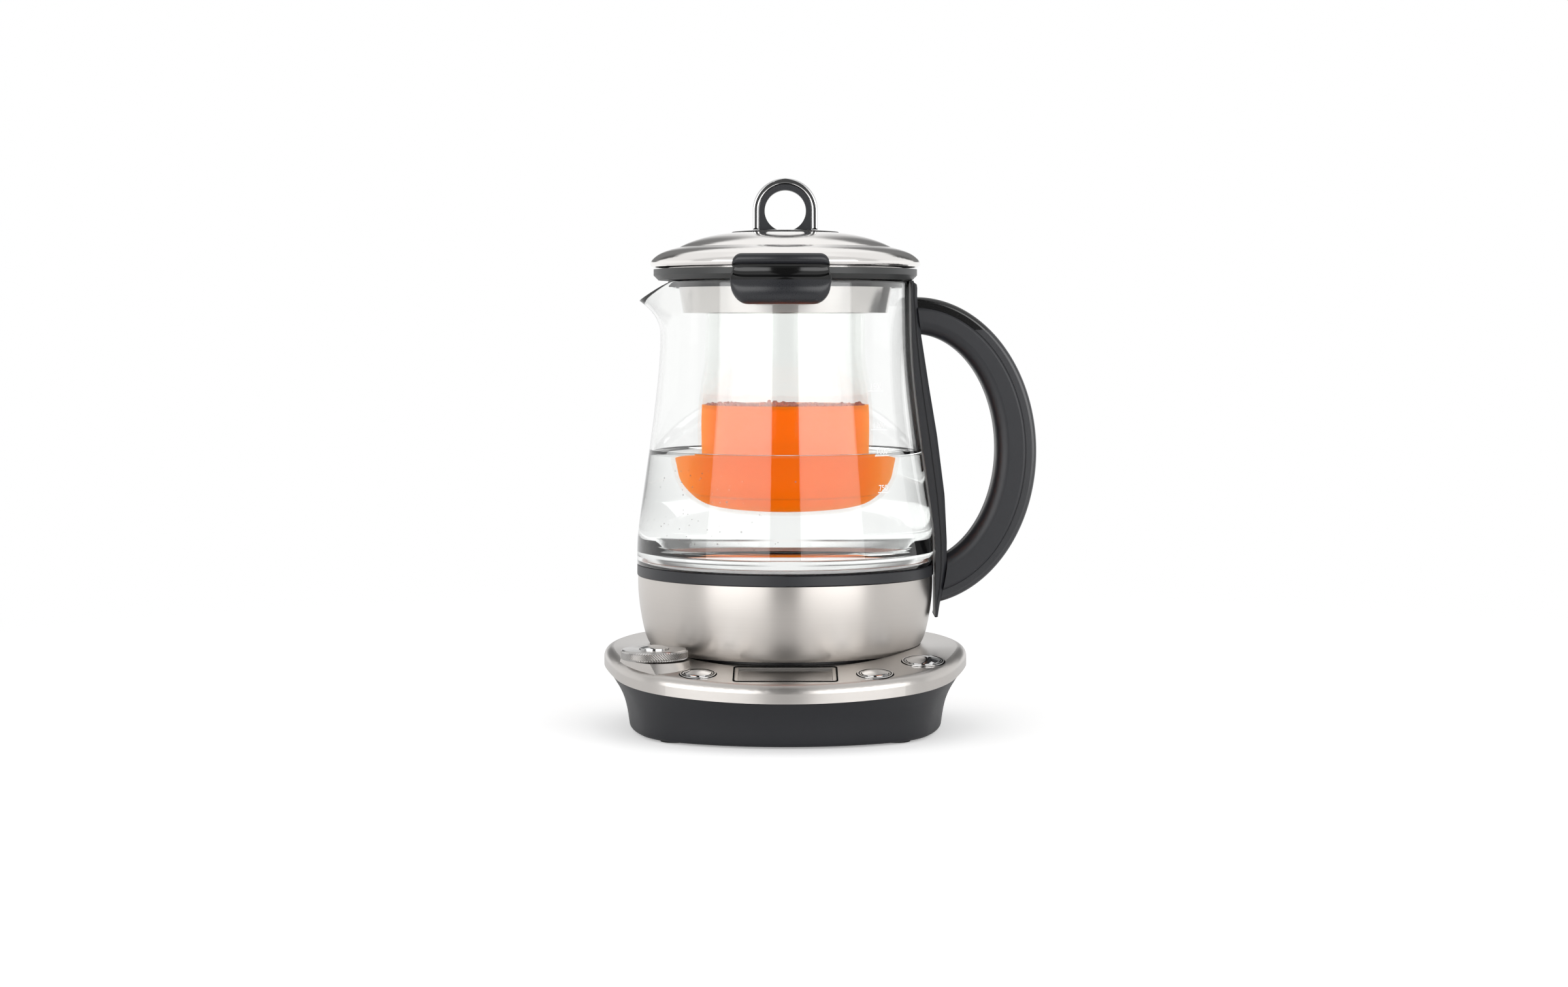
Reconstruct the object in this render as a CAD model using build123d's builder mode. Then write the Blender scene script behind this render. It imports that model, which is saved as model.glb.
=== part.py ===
"""Automatic tea maker: a heated glass jug with a hanging glass insert and a lid, on a powered base.

Millimetres, +Z up, the front (controls) towards -Y, the handle towards +X.
The base stands on z = 0 and the origin is below the middle of the whole appliance.
"""

from build123d import *
import math
import os

os.makedirs("parts", exist_ok=True)

# ------------------------------------------------------------------ driving sizes
# Base, seen from above; fronts and backs are measured from the jug's axis
PLATE_HALF_WIDTH = 97.5
PLATE_FRONT = 107.5
PLATE_BACK = 92.0
PLAN_END_RADIUS = 125.0      # front and back edges
PLAN_SIDE_RADIUS = 150.0     # left and right edges
PLAN_CORNER = 60.0

# Base, seen from the side
PANEL_HEIGHT = 44.0          # flat rear part of the steel plate
PANEL_FLAT_END = 20.0        # where the plate starts to bend down, ahead of the jug's axis
PANEL_BEND = 250.0
PANEL_FALL = 7.8             # slope of the control panel, degrees
PLATE_SHEET = 1.2
PLATE_LIP = 9.3
PLATE_ROUND = 5.0
PLATE_FIT = 0.15             # plate to housing
DECK_FIT = 0.1               # plate to the housing's deck
DECK_WALL = 2.0
HOUSING_WALL = 2.4
HOUSING_FOOT = 1.0           # height of the housing's lower edge
FLARE_TILT = 0.083           # how much the flare's sections follow the panel's fall
FLARE_TOP = 46.0
# (height at the jug's axis, how far the housing stands in from the plate's outline)
FLARE = ((6.0, 13.2), (13.0, 12.0), (21.0, 9.6), (28.0, 6.0), (34.0, 2.6))
FLARE_FOOT_INSET = 13.8
FLARE_TOP_INSET = 1.9
HOUSING_EDGE = 2.4
COVER_WALL = 2.4
COVER_BOTTOM = 1.6
COVER_FIT = 0.3
FOOT_RADIUS = 8.0
FOOT_STEM = 2.5
FOOT_SHARE = 0.5846           # of the plate's half width
FOOT_SPREAD_X = FOOT_SHARE * PLATE_HALF_WIDTH
FOOT_FRONT = 63.0
FOOT_BACK = 48.0
POST_RADIUS = 4.0
SCREW_RADIUS = 1.4
SCREW_HEAD = 2.9
SCREW_HEAD_HEIGHT = 1.3
SCREW_FIT = 0.05
FRONT_SCREWS = (36.0, 67.0)   # to the side, and ahead of the jug's axis
BACK_SCREWS = (44.0, 62.0)    # to the side, and behind the jug's axis
SCREW_DEPTH = 12.0
SCREW_RESERVE = 1.0          # hole beyond a screw's end

# Seat and cordless connector
SEAT_Z = 39.0
SEAT_RADIUS = 73.4
SOCKET_HOLE = 19.0
SOCKET_COLLAR = 18.6
SOCKET_COLLAR_WALL = 3.4
SOCKET_FLANGE = 27.0
SOCKET_FLANGE_WALL = 4.0
SOCKET_RISE = 5.2            # collar above the seat
SOCKET_POST = 6.2
CONTACT_RING = 9.2           # inner radius of the live ring
CONTACT_WALL = 0.9
EARTH_PIN = 1.8
COUPLER_FIT = 0.4
POST_RISE = 2.0              # middle post above the collar
PIN_RISE = 4.5               # earth pin above the collar
CONTACT_DROP = 1.5           # live ring below the collar
SOCKET_CHAMFER = 0.5

# Controls: x to the right, as a share of the plate's half width, and distance ahead of the jug's axis
DIAL_SHARE = -0.6995
DIAL_X = DIAL_SHARE * PLATE_HALF_WIDTH
DIAL_AHEAD = 64.0
DIAL_RADIUS = 17.0
DIAL_HEIGHT = 5.2
DIAL_FLOOR = 0.9
DIAL_SLEEVE = 5.9            # outer radius of the shaft sleeve below the dial
DIAL_SLEEVE_WALL = 1.5
DIAL_SLEEVE_LENGTH = 10.0
DIAL_GAP = 0.5               # under the dial
DIAL_CHAMFER = 0.5
BOSS_TOP = 42.2
BOSS_RADIUS = 18.6
BOSS_SPREAD = 3.6
DIAL_BUTTON_RADIUS = 7.5
DIAL_BUTTON_RISE = 2.0       # button's crown above the dial
DIAL_BUTTON_STEM = 2.4
DIAL_CROWN_SHOULDER = 0.8    # share of the crown's rise at CROWN_SHARE of its radius
DIAL_CROWN_EDGE = 0.35       # share of the crown's rise at its edge
CROWN_SHARE = 0.6
ENCODER_RADIUS = 9.0
ENCODER_TOP = 36.4
ENCODER_BOTTOM = 27.0
ENCODER_FLOOR = 4.5
SHELF_WALL = 2.4
SHELF_RADIUS = 12.0
RUNNING_FIT = 0.05

SMALL_BUTTON = 7.0
LARGE_BUTTON = 8.8
HOT_WATER_SHARE = -0.4595
TEA_SHARE = 0.4718
START_SHARE = 0.7374
START_X = START_SHARE * PLATE_HALF_WIDTH
BUTTONS = {                  # name: (x, distance ahead, cap radius)
    "button_hot_water": (HOT_WATER_SHARE * PLATE_HALF_WIDTH, 85.0, SMALL_BUTTON),
    "button_tea": (TEA_SHARE * PLATE_HALF_WIDTH, 85.0, SMALL_BUTTON),
    "button_start": (START_X, 59.5, LARGE_BUTTON),
}
BUTTON_FIT = 0.35
RING_SLEEVE_WALL = 0.75
RING_FLANGE = 1.15
RING_RISE = 0.55
RING_DEPTH = 4.4
BUTTON_RISE = 0.9
BUTTON_DOME = 1.2
BUTTON_CROWN_SHOULDER = 0.66  # share of the dome's rise at CROWN_SHARE of its radius
BUTTON_SKIRT = 3.4
BUTTON_STEM = 2.2
BUTTON_STEM_END = 5.6
BUTTON_TRAVEL = 1.2

DISPLAY_AHEAD = 85.0
DISPLAY_WIDTH = 51.6
DISPLAY_DEPTH = 27.6
DISPLAY_CORNER = 2.0
DISPLAY_BEZEL = 1.6
DISPLAY_WINDOW_WALL = 1.2
DISPLAY_SINK = 0.9
LCD_WALL = 2.6
BOARD_DROP = 9.6             # top of the circuit board below the panel
BOARD_WALL = 1.6
BOARD_WIDTH = 108.0
BOARD_DEPTH = 25.0
BOARD_INSET = 10.5           # from the plate's outline
BOARD_POST = 2.4
BOARD_SCREW = 1.0
BOARD_SCREW_HEAD = 1.9
BOARD_SCREW_HEAD_HEIGHT = 1.1
START_LUG = (13.9, 26.0)      # left of the large button, and behind the display's middle
BOARD_LUGS = ((-31.0, -5.0), (31.0, -5.0), (-31.0, 8.0), (31.0, 8.0), (START_X - START_LUG[0], START_LUG[1]))
# part of the board that reaches back to the large button: left, right, front, back
BOARD_WING = (44.0, 79.0, 18.5, 33.0)
SWITCH_SIDE = 6.2
SWITCH_HEIGHT = 2.3
PLUNGER_RADIUS = 1.6
PLUNGER_HEIGHT = 0.3

# Cord inlet at the back of the base
GLAND_SIDE = 13.2
GLAND_BORE = 3.6
GLAND_LENGTH = 12.0
GLAND_BACK = 82.3            # outer end, behind the jug's axis
GLAND_FIT = 0.2
GLAND_EDGE = 1.0

# Jug
JUG_STAND_GAP = 0.2
BOWL_BOTTOM = 41.5
BOWL_TOP = 81.3
BOWL_SHEET = 0.8
BOWL_FLANGE_INNER = 62.0
BOWL_FOOT_RADIUS = 70.6
BOWL_TOP_RADIUS = 79.8
# (share of the bowl's height, radius)
BOWL_FORM = ((0.12, 74.4), (0.27, 76.5), (0.48, 78.2), (0.68, 79.3))
SEAT_RING_TOP = 87.5
SEAT_RING_INNER = 75.5
SEAT_RING_OUTER = 80.3
SEAT_RING_ROUND = 0.8
GLASS_FOOT = 87.7
GLASS_RIM = 240.3
GLASS_WALL = 2.4
# (share of the glass's height, outer radius)
GLASS_FORM = ((0.0, 80.4), (0.10, 80.0), (0.26, 76.8), (0.405, 73.7), (0.59, 70.1),
              (0.74, 68.1), (0.88, 67.5), (1.0, 67.4))
SPOUT_TIP = 79.9             # from the jug's axis
SPOUT_TIP_DROP = 10.5        # tip below the rim
SPOUT_START = 58.0           # where the rim begins to fall
SPOUT_ROOT = 50.0
# (below the rim, reach beyond the tip, half width)
SPOUT_FORM = ((25.5, -16.0, 7.0), (17.0, -9.8, 13.0), (9.0, 1.6, 17.0), (-1.0, 8.0, 20.0))
PLATE_DISC = 75.3            # heating plate
HEATER_PLATE_WALL = 1.4
HEATER_PLATE_TOP = 88.2
HEATER_SKIRT = 10.0
PLATE_SEAL_OUTER = 77.8
PLATE_SEAL_HEIGHT = 2.2
ELEMENT_RADIUS = 45.0
ELEMENT_HALF_WIDTH = 5.5
ELEMENT_HEIGHT = 9.0
SENSOR_RADIUS = 3.0
SENSOR_RISE = 1.0
SENSOR_DROP = 14.0
BASE_COVER_OUTER = 68.5
BASE_COVER_WALL = 2.0
STAND_RING_INNER = 54.0
STAND_RING_OUTER = 61.5
COUPLER_OUTER = 24.0
COUPLER_FLANGE = 28.5
COUPLER_TOP = 52.0
COUPLER_FLANGE_WALL = 2.0
COUPLER_PIN_HOLE = 2.4
COUPLER_PLAY = 0.3           # jug turning about the coupler

# Handle
STRAP_WIDTH = 26.0
STRAP_FIT = 0.2
STRAP_ROUND = 1.2
STRAP_BOTTOM = 59.0
STRAP_DROP = 2.8             # strap's top below the glass's rim
STRAP_TOP = GLASS_RIM - STRAP_DROP
# (share of the strap's height, how far the strap's back lies from the jug's axis)
STRAP_FORM = ((0, 82.2), (0.0392, 83.2), (0.1008, 85.6), (0.1513, 87.0), (0.2297, 87.1),
              (0.3686, 85.9), (0.5473, 81.9), (0.6964, 77.5), (0.8459, 73.4), (0.9636, 71.1), (1, 71.2))
HANDLE_REACH = 135.6
HANDLE_CENTRE_X = 70.3
HANDLE_RAISE = 0.25          # middle of the handle above the strap's middle
HANDLE_CENTRE_Z = (STRAP_TOP + STRAP_BOTTOM) / 2 + HANDLE_RAISE
HANDLE_INSET = 6.25          # handle's ends from the strap's ends
HANDLE_HALF_HEIGHT = (STRAP_TOP - STRAP_BOTTOM) / 2 - HANDLE_INSET
HANDLE_COVER_WALL = 5.8
HANDLE_GRIP_WALL = 15.9      # at the middle
HANDLE_GRIP_END = 15.4       # at the top and the bottom
HANDLE_INNER_REACH = HANDLE_REACH - HANDLE_CENTRE_X - HANDLE_COVER_WALL - HANDLE_GRIP_WALL
HANDLE_INNER_HALF_HEIGHT = HANDLE_HALF_HEIGHT - HANDLE_COVER_WALL - HANDLE_GRIP_END
HANDLE_INNER_RAISE = 1.2
GRIP_WIDTH = 26.0
GRIP_ROUND = 7.0
COVER_WIDTH = 23.0
COVER_ROUND = 2.6
HANDLE_FIT = 0.1
HANDLE_SCREW = 1.75
HANDLE_SCREW_HEAD = 3.0
HANDLE_SCREW_HEAD_WALL = 1.6
HANDLE_SCREW_SHARE = 0.1032   # of the handle's reach
HANDLE_SCREW_LENGTH = HANDLE_SCREW_SHARE * HANDLE_REACH
# height, and where the head begins from the jug's axis
HANDLE_SCREWS = ((STRAP_BOTTOM + 23.5, 80.8), (STRAP_TOP - 16.5, 68.2))

# Insert
INSERT_TURN = -1.8           # the insert sits a little turned in the jug, degrees
FRONT_FACING = -90.0
BACK_FACING = 90.0
RIM_REST = 0.3               # rim above the glass
RIM_BOTTOM = GLASS_RIM + RIM_REST
RIM_WALL = 5.9
RIM_TOP = RIM_BOTTOM + RIM_WALL
RIM_INNER = 59.7
RIM_OUTER = 71.5
RIM_CHAMFER = 2.6
RIM_SKIRT_INNER = 60.2
RIM_SKIRT_OUTER = 63.6
RIM_SKIRT_DROP = 4.0
COLLAR_SHEET = 0.8
COLLAR_DEPTH = 17.7          # below the rim's underside
COLLAR_BOTTOM = RIM_BOTTOM - COLLAR_DEPTH
COLLAR_TOP_RADIUS = 59.4
COLLAR_BOTTOM_RADIUS = 55.4
COLLAR_HOLE = 45.0
COLLAR_LIP = 63.5
INSERT_WALL = 2.2
INSERT_NECK = 43.3
INSERT_CLEAR = 23.8          # bowl above the heating plate
INSERT_BOTTOM = HEATER_PLATE_TOP + INSERT_CLEAR
INSERT_DEPTH = COLLAR_BOTTOM - INSERT_BOTTOM
INSERT_FLANGE = 48.8
INSERT_FLANGE_WALL = 2.2
SEAL_WALL = 0.8
SEAL_OUTER = 50.5
# (share of the bowl's depth, outer radius) up to the straight neck
INSERT_FORM = ((0.0072, 17.3), (0.0379, 33.9), (0.1307, 43.6), (0.2254, 46.4), (0.3427, 47.4),
               (0.541, 47.3), (0.7214, 44.4), (0.8656, 43.3))
GRIP_ARC = 46.0              # degrees of the rim that an insert grip's section is turned through
GRIP_LENGTH = 54.1
GRIP_CORNER = 7.0
GRIP_LOW = -13.9             # ends of the grip about the rim's underside
GRIP_HIGH = 13.1
# closed outline of the insert grip's section: (radius, height above the rim's underside)
GRIP_OUTLINE = ((71.2, -0.6), (71.4, -8.0), (74.0, -13.2), (78.6, -13.6), (82.6, -10.0), (83.4, -5.0),
                (81.2, -0.6), (78.6, 2.4), (78.4, 6.4), (80.6, 8.8), (80.4, 11.4), (78.0, 13.0),
                (75.2, 12.2), (74.2, 9.6), (74.1, 6.4), (72.4, 5.4), (72.1, 2.6))

# Lid
LID_SHEET = 1.0
LID_REST = 1.2               # lid above the insert's rim
LID_BOTTOM = RIM_TOP + LID_REST
# (radius, height above the lid's bottom edge) from the edge to the step
LID_TORUS = ((72.0, 0.0), (73.2, 2.3), (71.6, 4.7), (68.0, 7.3), (63.0, 9.3), (57.6, 10.7))
# and from the step to the middle
LID_DOME = ((56.8, 11.2), (49.7, 14.3), (38.5, 17.3), (22.0, 19.4), (0.0, 20.0))
LINER_WALL = 1.4
LINER_RADIUS = 70.4
SPIGOT_OUTER = 55.4
SPIGOT_WALL = 2.2
SPIGOT_DEPTH = 9.0
LID_SEAL_OUTER = 57.4
LID_SEAL_HEIGHT = 3.0
LID_SEAL_DROP = 3.4
PAD_RADIUS = 29.0
PAD_RISE = 0.4               # pad's top above the lid's crown
KNOB_HEIGHT = 48.3           # knob's top above the lid's edge
KNOB_TOP = LID_BOTTOM + KNOB_HEIGHT
KNOB_WIDTH = 35.2
KNOB_BAR = 3.3
HOOP_DEPTH = 9.0
HOOP_ROUND = 1.0
KNOB_HOLE = 11.2
CORE_DEPTH = 7.4
KNOB_FIT = 0.1
LID_SCREW_SPREAD = 11.6
LID_SCREW = 1.2
LID_SCREW_HEAD = 2.2
LID_SCREW_HEAD_WALL = 1.6
LID_SCREW_TOP = LID_BOTTOM + 24.7
LID_SCREW_BOTTOM = LID_BOTTOM + 16.7

FAR = 160.0                  # beyond every edge of the base

# ------------------------------------------------------------------ frame
AXIS_X = (PLATE_HALF_WIDTH - HANDLE_REACH) / 2
AXIS_Y = (PLATE_FRONT - PLATE_BACK) / 2
JUG = Plane(origin=(AXIS_X, AXIS_Y, 0))
UPRIGHT = Plane(origin=(AXIS_X, AXIS_Y, 0), x_dir=(1, 0, 0), z_dir=(0, -1, 0))
SIDE = Plane(origin=(AXIS_X, AXIS_Y, 0), x_dir=(0, -1, 0), z_dir=(-1, 0, 0))
JUG_AXIS = Axis((AXIS_X, AXIS_Y, 0), (0, 0, 1))

FALL = math.radians(PANEL_FALL)
BEND_END = PANEL_FLAT_END + PANEL_BEND * math.sin(FALL)
BEND_END_Z = PANEL_HEIGHT - PANEL_BEND * (1 - math.cos(FALL))


def panel_height(ahead):
    """Height of the sloping panel at a distance ahead of the jug's axis."""
    return BEND_END_Z - (ahead - BEND_END) * math.tan(FALL)


def panel_plane(x, ahead):
    """Plane that lies on the sloping panel, its z axis along the panel's outward normal."""
    spot = (AXIS_X + x, AXIS_Y - ahead, panel_height(ahead))
    return Plane(origin=spot, x_dir=(1, 0, 0), z_dir=(0, -math.sin(FALL), math.cos(FALL)))


def section(inner, outer, low, high, mode=Mode.ADD):
    """Rectangle of an upright sketch, between two radii and two heights."""
    with Locations(((inner + outer) / 2, (low + high) / 2)):
        Rectangle(outer - inner, high - low, mode=mode)


def planform(inset):
    """The base's outline from above, drawn in by inset."""
    middle = (PLATE_BACK - PLATE_FRONT) / 2
    end_shift = (PLATE_BACK + PLATE_FRONT) / 2 - PLAN_END_RADIUS
    side_shift = PLAN_SIDE_RADIUS - PLATE_HALF_WIDTH
    with BuildSketch(mode=Mode.PRIVATE) as plan:
        with Locations((0, middle - end_shift)):
            Circle(PLAN_END_RADIUS - inset)
        with Locations((0, middle + end_shift)):
            Circle(PLAN_END_RADIUS - inset, mode=Mode.INTERSECT)
        with Locations((-side_shift, middle)):
            Circle(PLAN_SIDE_RADIUS - inset, mode=Mode.INTERSECT)
        with Locations((side_shift, middle)):
            Circle(PLAN_SIDE_RADIUS - inset, mode=Mode.INTERSECT)
        fillet(plan.vertices(), PLAN_CORNER - inset)
    return plan.sketch


def below_panel(drop):
    """Everything below the plate's side profile, lowered by drop."""
    with BuildPart(mode=Mode.PRIVATE) as below:
        with BuildSketch(SIDE):
            with BuildLine():
                flat = Line((-FAR, PANEL_HEIGHT - drop), (PANEL_FLAT_END, PANEL_HEIGHT - drop))
                bend = CenterArc((PANEL_FLAT_END, PANEL_HEIGHT - PANEL_BEND), PANEL_BEND - drop,
                                 90, -PANEL_FALL)
                ramp = PolarLine(bend @ 1, FAR, -PANEL_FALL)
                Polyline(ramp @ 1, ((ramp @ 1).X, -FAR), (-FAR, -FAR), flat @ 0)
            make_face()
        extrude(amount=FAR, both=True)
    return below.part


def panel_block(inset, drop, rounding):
    """Solid under the panel's line, inside the base's outline, with a rounded upper edge."""
    with BuildPart(mode=Mode.PRIVATE) as block:
        with BuildSketch(JUG):
            add(planform(inset))
        extrude(amount=FAR)
        add(below_panel(drop), mode=Mode.INTERSECT)
        walls = block.faces().filter_by(lambda face: abs(face.normal_at().Z) < 0.1)
        brim = walls.edges().filter_by(lambda edge: edge.center().Z > 1 and abs((edge % 0.5).Z) < 0.7)
        fillet(brim, rounding)
    return block.part


def flared_form(wall, low):
    """Flared body of the housing, its walls drawn in by wall, standing on height low."""
    levels = ((low, FLARE_FOOT_INSET), *FLARE, (FLARE_TOP, FLARE_TOP_INSET))
    with BuildPart(mode=Mode.PRIVATE) as form:
        for height, inset in levels:
            lean = FLARE_TILT * (height - low) / (FLARE_TOP - low)
            level = Plane(origin=(AXIS_X, AXIS_Y, height), x_dir=(1, 0, 0), z_dir=(0, -lean, 1))
            with BuildSketch(level):
                add(planform(inset + wall))
        loft()
    return form.part


def control_hole(plane, radius, depth):
    """Round cutter through the panel at a control's plane."""
    with BuildPart(mode=Mode.PRIVATE) as cutter:
        with BuildSketch(plane.offset(-depth)):
            Circle(radius)
        extrude(amount=2 * depth)
    return cutter.part


DIAL_PLANE = Plane(origin=(AXIS_X + DIAL_X, AXIS_Y - DIAL_AHEAD, BOSS_TOP + DIAL_GAP))
DISPLAY_PLANE = panel_plane(0, DISPLAY_AHEAD)
BUTTON_PLANES = {name: panel_plane(x, ahead) for name, (x, ahead, cap) in BUTTONS.items()}
BUTTON_CAPS = {name: cap for name, (x, ahead, cap) in BUTTONS.items()}
DECK_DROP = PLATE_SHEET + DECK_FIT                    # top of the housing's deck below the panel
DECK_BOTTOM = DECK_DROP + DECK_WALL
PLATE_INSIDE = PLATE_SHEET + PLATE_FIT
COVER_TOP = COVER_BOTTOM + COVER_WALL
COVER_INSET = FLARE_FOOT_INSET + HOUSING_WALL + COVER_FIT
GLAND_Z = COVER_TOP + GLAND_FIT + GLAND_SIDE / 2
FEET = [(x, y) for x in (-FOOT_SPREAD_X, FOOT_SPREAD_X) for y in (-FOOT_FRONT, FOOT_BACK)]
BASE_SCREWS = [(side * x, y) for side in (-1, 1)
               for x, y in ((FRONT_SCREWS[0], -FRONT_SCREWS[1]), BACK_SCREWS)]
DIAL_BORE = DIAL_BUTTON_RADIUS + BUTTON_FIT
BOARD_BOTTOM = BOARD_DROP + BOARD_WALL
SOCKET_FLANGE_TOP = SEAT_Z - PLATE_SHEET
SOCKET_FLANGE_BOTTOM = SOCKET_FLANGE_TOP - SOCKET_FLANGE_WALL
TROUGH_FLOOR = SOCKET_FLANGE_TOP - SOCKET_FLANGE_WALL / 2
COLLAR_TOP = SEAT_Z + SOCKET_RISE
DISH_CLEAR = SEAT_RADIUS + PLATE_SHEET + COVER_FIT


def ring_outer(cap):
    """Outer radius of a button ring's sleeve, for a button cap's radius."""
    return cap + BUTTON_FIT + RING_SLEEVE_WALL


def dial_boss():
    """Low round boss that carries the dial level on the sloping panel."""
    with BuildPart(mode=Mode.PRIVATE) as boss:
        with BuildSketch(DIAL_PLANE.offset(-DIAL_GAP)):
            Circle(BOSS_RADIUS)
        with BuildSketch(DIAL_PLANE.offset(-DIAL_GAP - 2 * BOSS_SPREAD)):
            Circle(BOSS_RADIUS + BOSS_SPREAD)
        loft()
        with BuildSketch(JUG):
            add(planform(PLATE_ROUND / 2))
        extrude(amount=FAR, mode=Mode.INTERSECT)
        add(below_panel(PLATE_SHEET), mode=Mode.SUBTRACT)
    return boss.part


def seat_dish():
    """Round dish of the plate, in which the jug stands."""
    with BuildPart(mode=Mode.PRIVATE) as dish:
        with BuildSketch(JUG.offset(SEAT_Z - PLATE_SHEET)):
            Circle(SEAT_RADIUS + PLATE_SHEET)
        extrude(amount=FAR)
        add(below_panel(0), mode=Mode.INTERSECT)
        with BuildSketch(JUG.offset(SEAT_Z)):
            Circle(SEAT_RADIUS)
        extrude(amount=FAR, mode=Mode.SUBTRACT)
    return dish.part


def display_opening():
    """Rounded rectangle through the panel and the deck, for the display's frame."""
    with BuildPart(mode=Mode.PRIVATE) as opening:
        with BuildSketch(DISPLAY_PLANE.offset(-BOARD_DROP)):
            RectangleRounded(DISPLAY_WIDTH, DISPLAY_DEPTH, DISPLAY_CORNER)
        extrude(amount=2 * BOARD_DROP)
    return opening.part


def housing_cavity():
    """Space inside the housing, below its deck."""
    with BuildPart(mode=Mode.PRIVATE) as cavity:
        add(flared_form(HOUSING_WALL, 0))
        add(below_panel(DECK_BOTTOM), mode=Mode.INTERSECT)
    return cavity.part


def housing_posts():
    """Screw posts for the bottom cover and the circuit board, and the shelf under the dial's encoder."""
    with BuildPart(mode=Mode.PRIVATE) as posts:
        with BuildSketch(JUG.offset(COVER_TOP)):
            with Locations(BASE_SCREWS):
                Circle(POST_RADIUS)
        extrude(amount=FAR)
        with BuildSketch(DISPLAY_PLANE.offset(-BOARD_DROP)):
            with Locations(BOARD_LUGS):
                Circle(BOARD_POST)
        extrude(amount=FAR)
        with BuildSketch(Plane(origin=(AXIS_X + DIAL_X, AXIS_Y - DIAL_AHEAD, ENCODER_BOTTOM))):
            Circle(SHELF_RADIUS)
        extrude(amount=-SHELF_WALL)
        add(panel_block(PLATE_INSIDE, DECK_DROP, PLATE_ROUND - PLATE_SHEET), mode=Mode.INTERSECT)
        add(flared_form(HOUSING_WALL / 2, HOUSING_FOOT), mode=Mode.INTERSECT)
        with BuildSketch(JUG.offset(SOCKET_FLANGE_TOP - COVER_FIT)):
            Circle(DISH_CLEAR)
        extrude(amount=FAR, mode=Mode.SUBTRACT)
    return posts.part


# ------------------------------------------------------------------ base: shells
with BuildPart() as top_plate:
    add(panel_block(0, 0, PLATE_ROUND))
    add(panel_block(PLATE_SHEET, PLATE_SHEET, PLATE_ROUND - PLATE_SHEET), mode=Mode.SUBTRACT)
    add(below_panel(PLATE_LIP), mode=Mode.SUBTRACT)
    with BuildSketch(JUG):
        Circle(SEAT_RADIUS)
    extrude(amount=FAR, mode=Mode.SUBTRACT)
    add(seat_dish())
    add(dial_boss())
    with BuildSketch(JUG):
        Circle(SOCKET_HOLE)
    extrude(amount=FAR, mode=Mode.SUBTRACT)
    add(control_hole(DIAL_PLANE, DIAL_SLEEVE + 2 * BUTTON_FIT, BOARD_DROP), mode=Mode.SUBTRACT)
    for name, plane in BUTTON_PLANES.items():
        add(control_hole(plane, ring_outer(BUTTON_CAPS[name]) + HANDLE_FIT, BOARD_DROP), mode=Mode.SUBTRACT)
    add(display_opening(), mode=Mode.SUBTRACT)
top_plate.part.label = "top_plate"
export_step(top_plate.part, "parts/top_plate.step")

with BuildPart() as base_housing:
    add(flared_form(0, HOUSING_FOOT))
    fillet(base_housing.faces().sort_by(Axis.Z)[0].edges(), HOUSING_EDGE)
    add(panel_block(PLATE_INSIDE, DECK_DROP, PLATE_ROUND - PLATE_SHEET), mode=Mode.INTERSECT)
    add(housing_cavity(), mode=Mode.SUBTRACT)
    # deck openings for the seat dish, the dial, the buttons and the display
    with BuildSketch(JUG.offset(COVER_TOP)):
        Circle(DISH_CLEAR)
    extrude(amount=FAR, mode=Mode.SUBTRACT)
    add(housing_posts())
    add(control_hole(DIAL_PLANE, ENCODER_RADIUS + COVER_FIT, BOSS_TOP + DIAL_GAP - ENCODER_BOTTOM),
        mode=Mode.SUBTRACT)
    add(control_hole(DIAL_PLANE, DIAL_BUTTON_STEM + COVER_FIT, BOSS_TOP), mode=Mode.SUBTRACT)
    for name, plane in BUTTON_PLANES.items():
        add(control_hole(plane, ring_outer(BUTTON_CAPS[name]) + COVER_FIT, BOARD_DROP), mode=Mode.SUBTRACT)
    add(display_opening(), mode=Mode.SUBTRACT)
    # screw holes in the posts
    with BuildSketch(JUG.offset(COVER_TOP)):
        with Locations(BASE_SCREWS):
            Circle(SCREW_RADIUS + SCREW_FIT)
    extrude(amount=SCREW_DEPTH, mode=Mode.SUBTRACT)
    with BuildSketch(DISPLAY_PLANE.offset(-BOARD_DROP)):
        with Locations(BOARD_LUGS):
            Circle(BOARD_SCREW + SCREW_FIT)
    extrude(amount=BOARD_DROP - DECK_BOTTOM, mode=Mode.SUBTRACT)
    # square window for the cord inlet
    with BuildSketch(UPRIGHT.offset(-GLAND_BACK)):
        with Locations((0, GLAND_Z)):
            Rectangle(GLAND_SIDE + 2 * GLAND_FIT, GLAND_SIDE + 2 * GLAND_FIT)
    extrude(amount=GLAND_LENGTH, mode=Mode.SUBTRACT)
base_housing.part.label = "base_housing"
export_step(base_housing.part, "parts/base_housing.step")

with BuildPart() as bottom_cover:
    with BuildSketch(JUG.offset(COVER_BOTTOM)):
        add(planform(COVER_INSET))
        with Locations(FEET):
            Circle(FOOT_STEM + SCREW_FIT, mode=Mode.SUBTRACT)
        with Locations(BASE_SCREWS):
            Circle(SCREW_RADIUS + HANDLE_FIT, mode=Mode.SUBTRACT)
    extrude(amount=COVER_WALL)
    with BuildSketch(JUG.offset(COVER_BOTTOM)):
        with Locations(BASE_SCREWS):
            Circle(SCREW_HEAD + HANDLE_FIT)
    extrude(amount=SCREW_HEAD_HEIGHT, mode=Mode.SUBTRACT)
    # tower that carries the cordless socket
    with BuildSketch(JUG.offset(COVER_TOP)):
        Circle(SOCKET_FLANGE - SOCKET_FLANGE_WALL)
        Circle(SOCKET_FLANGE - SOCKET_FLANGE_WALL - HOUSING_WALL, mode=Mode.SUBTRACT)
    extrude(amount=SOCKET_FLANGE_BOTTOM - COVER_TOP)
bottom_cover.part.label = "bottom_cover"
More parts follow.
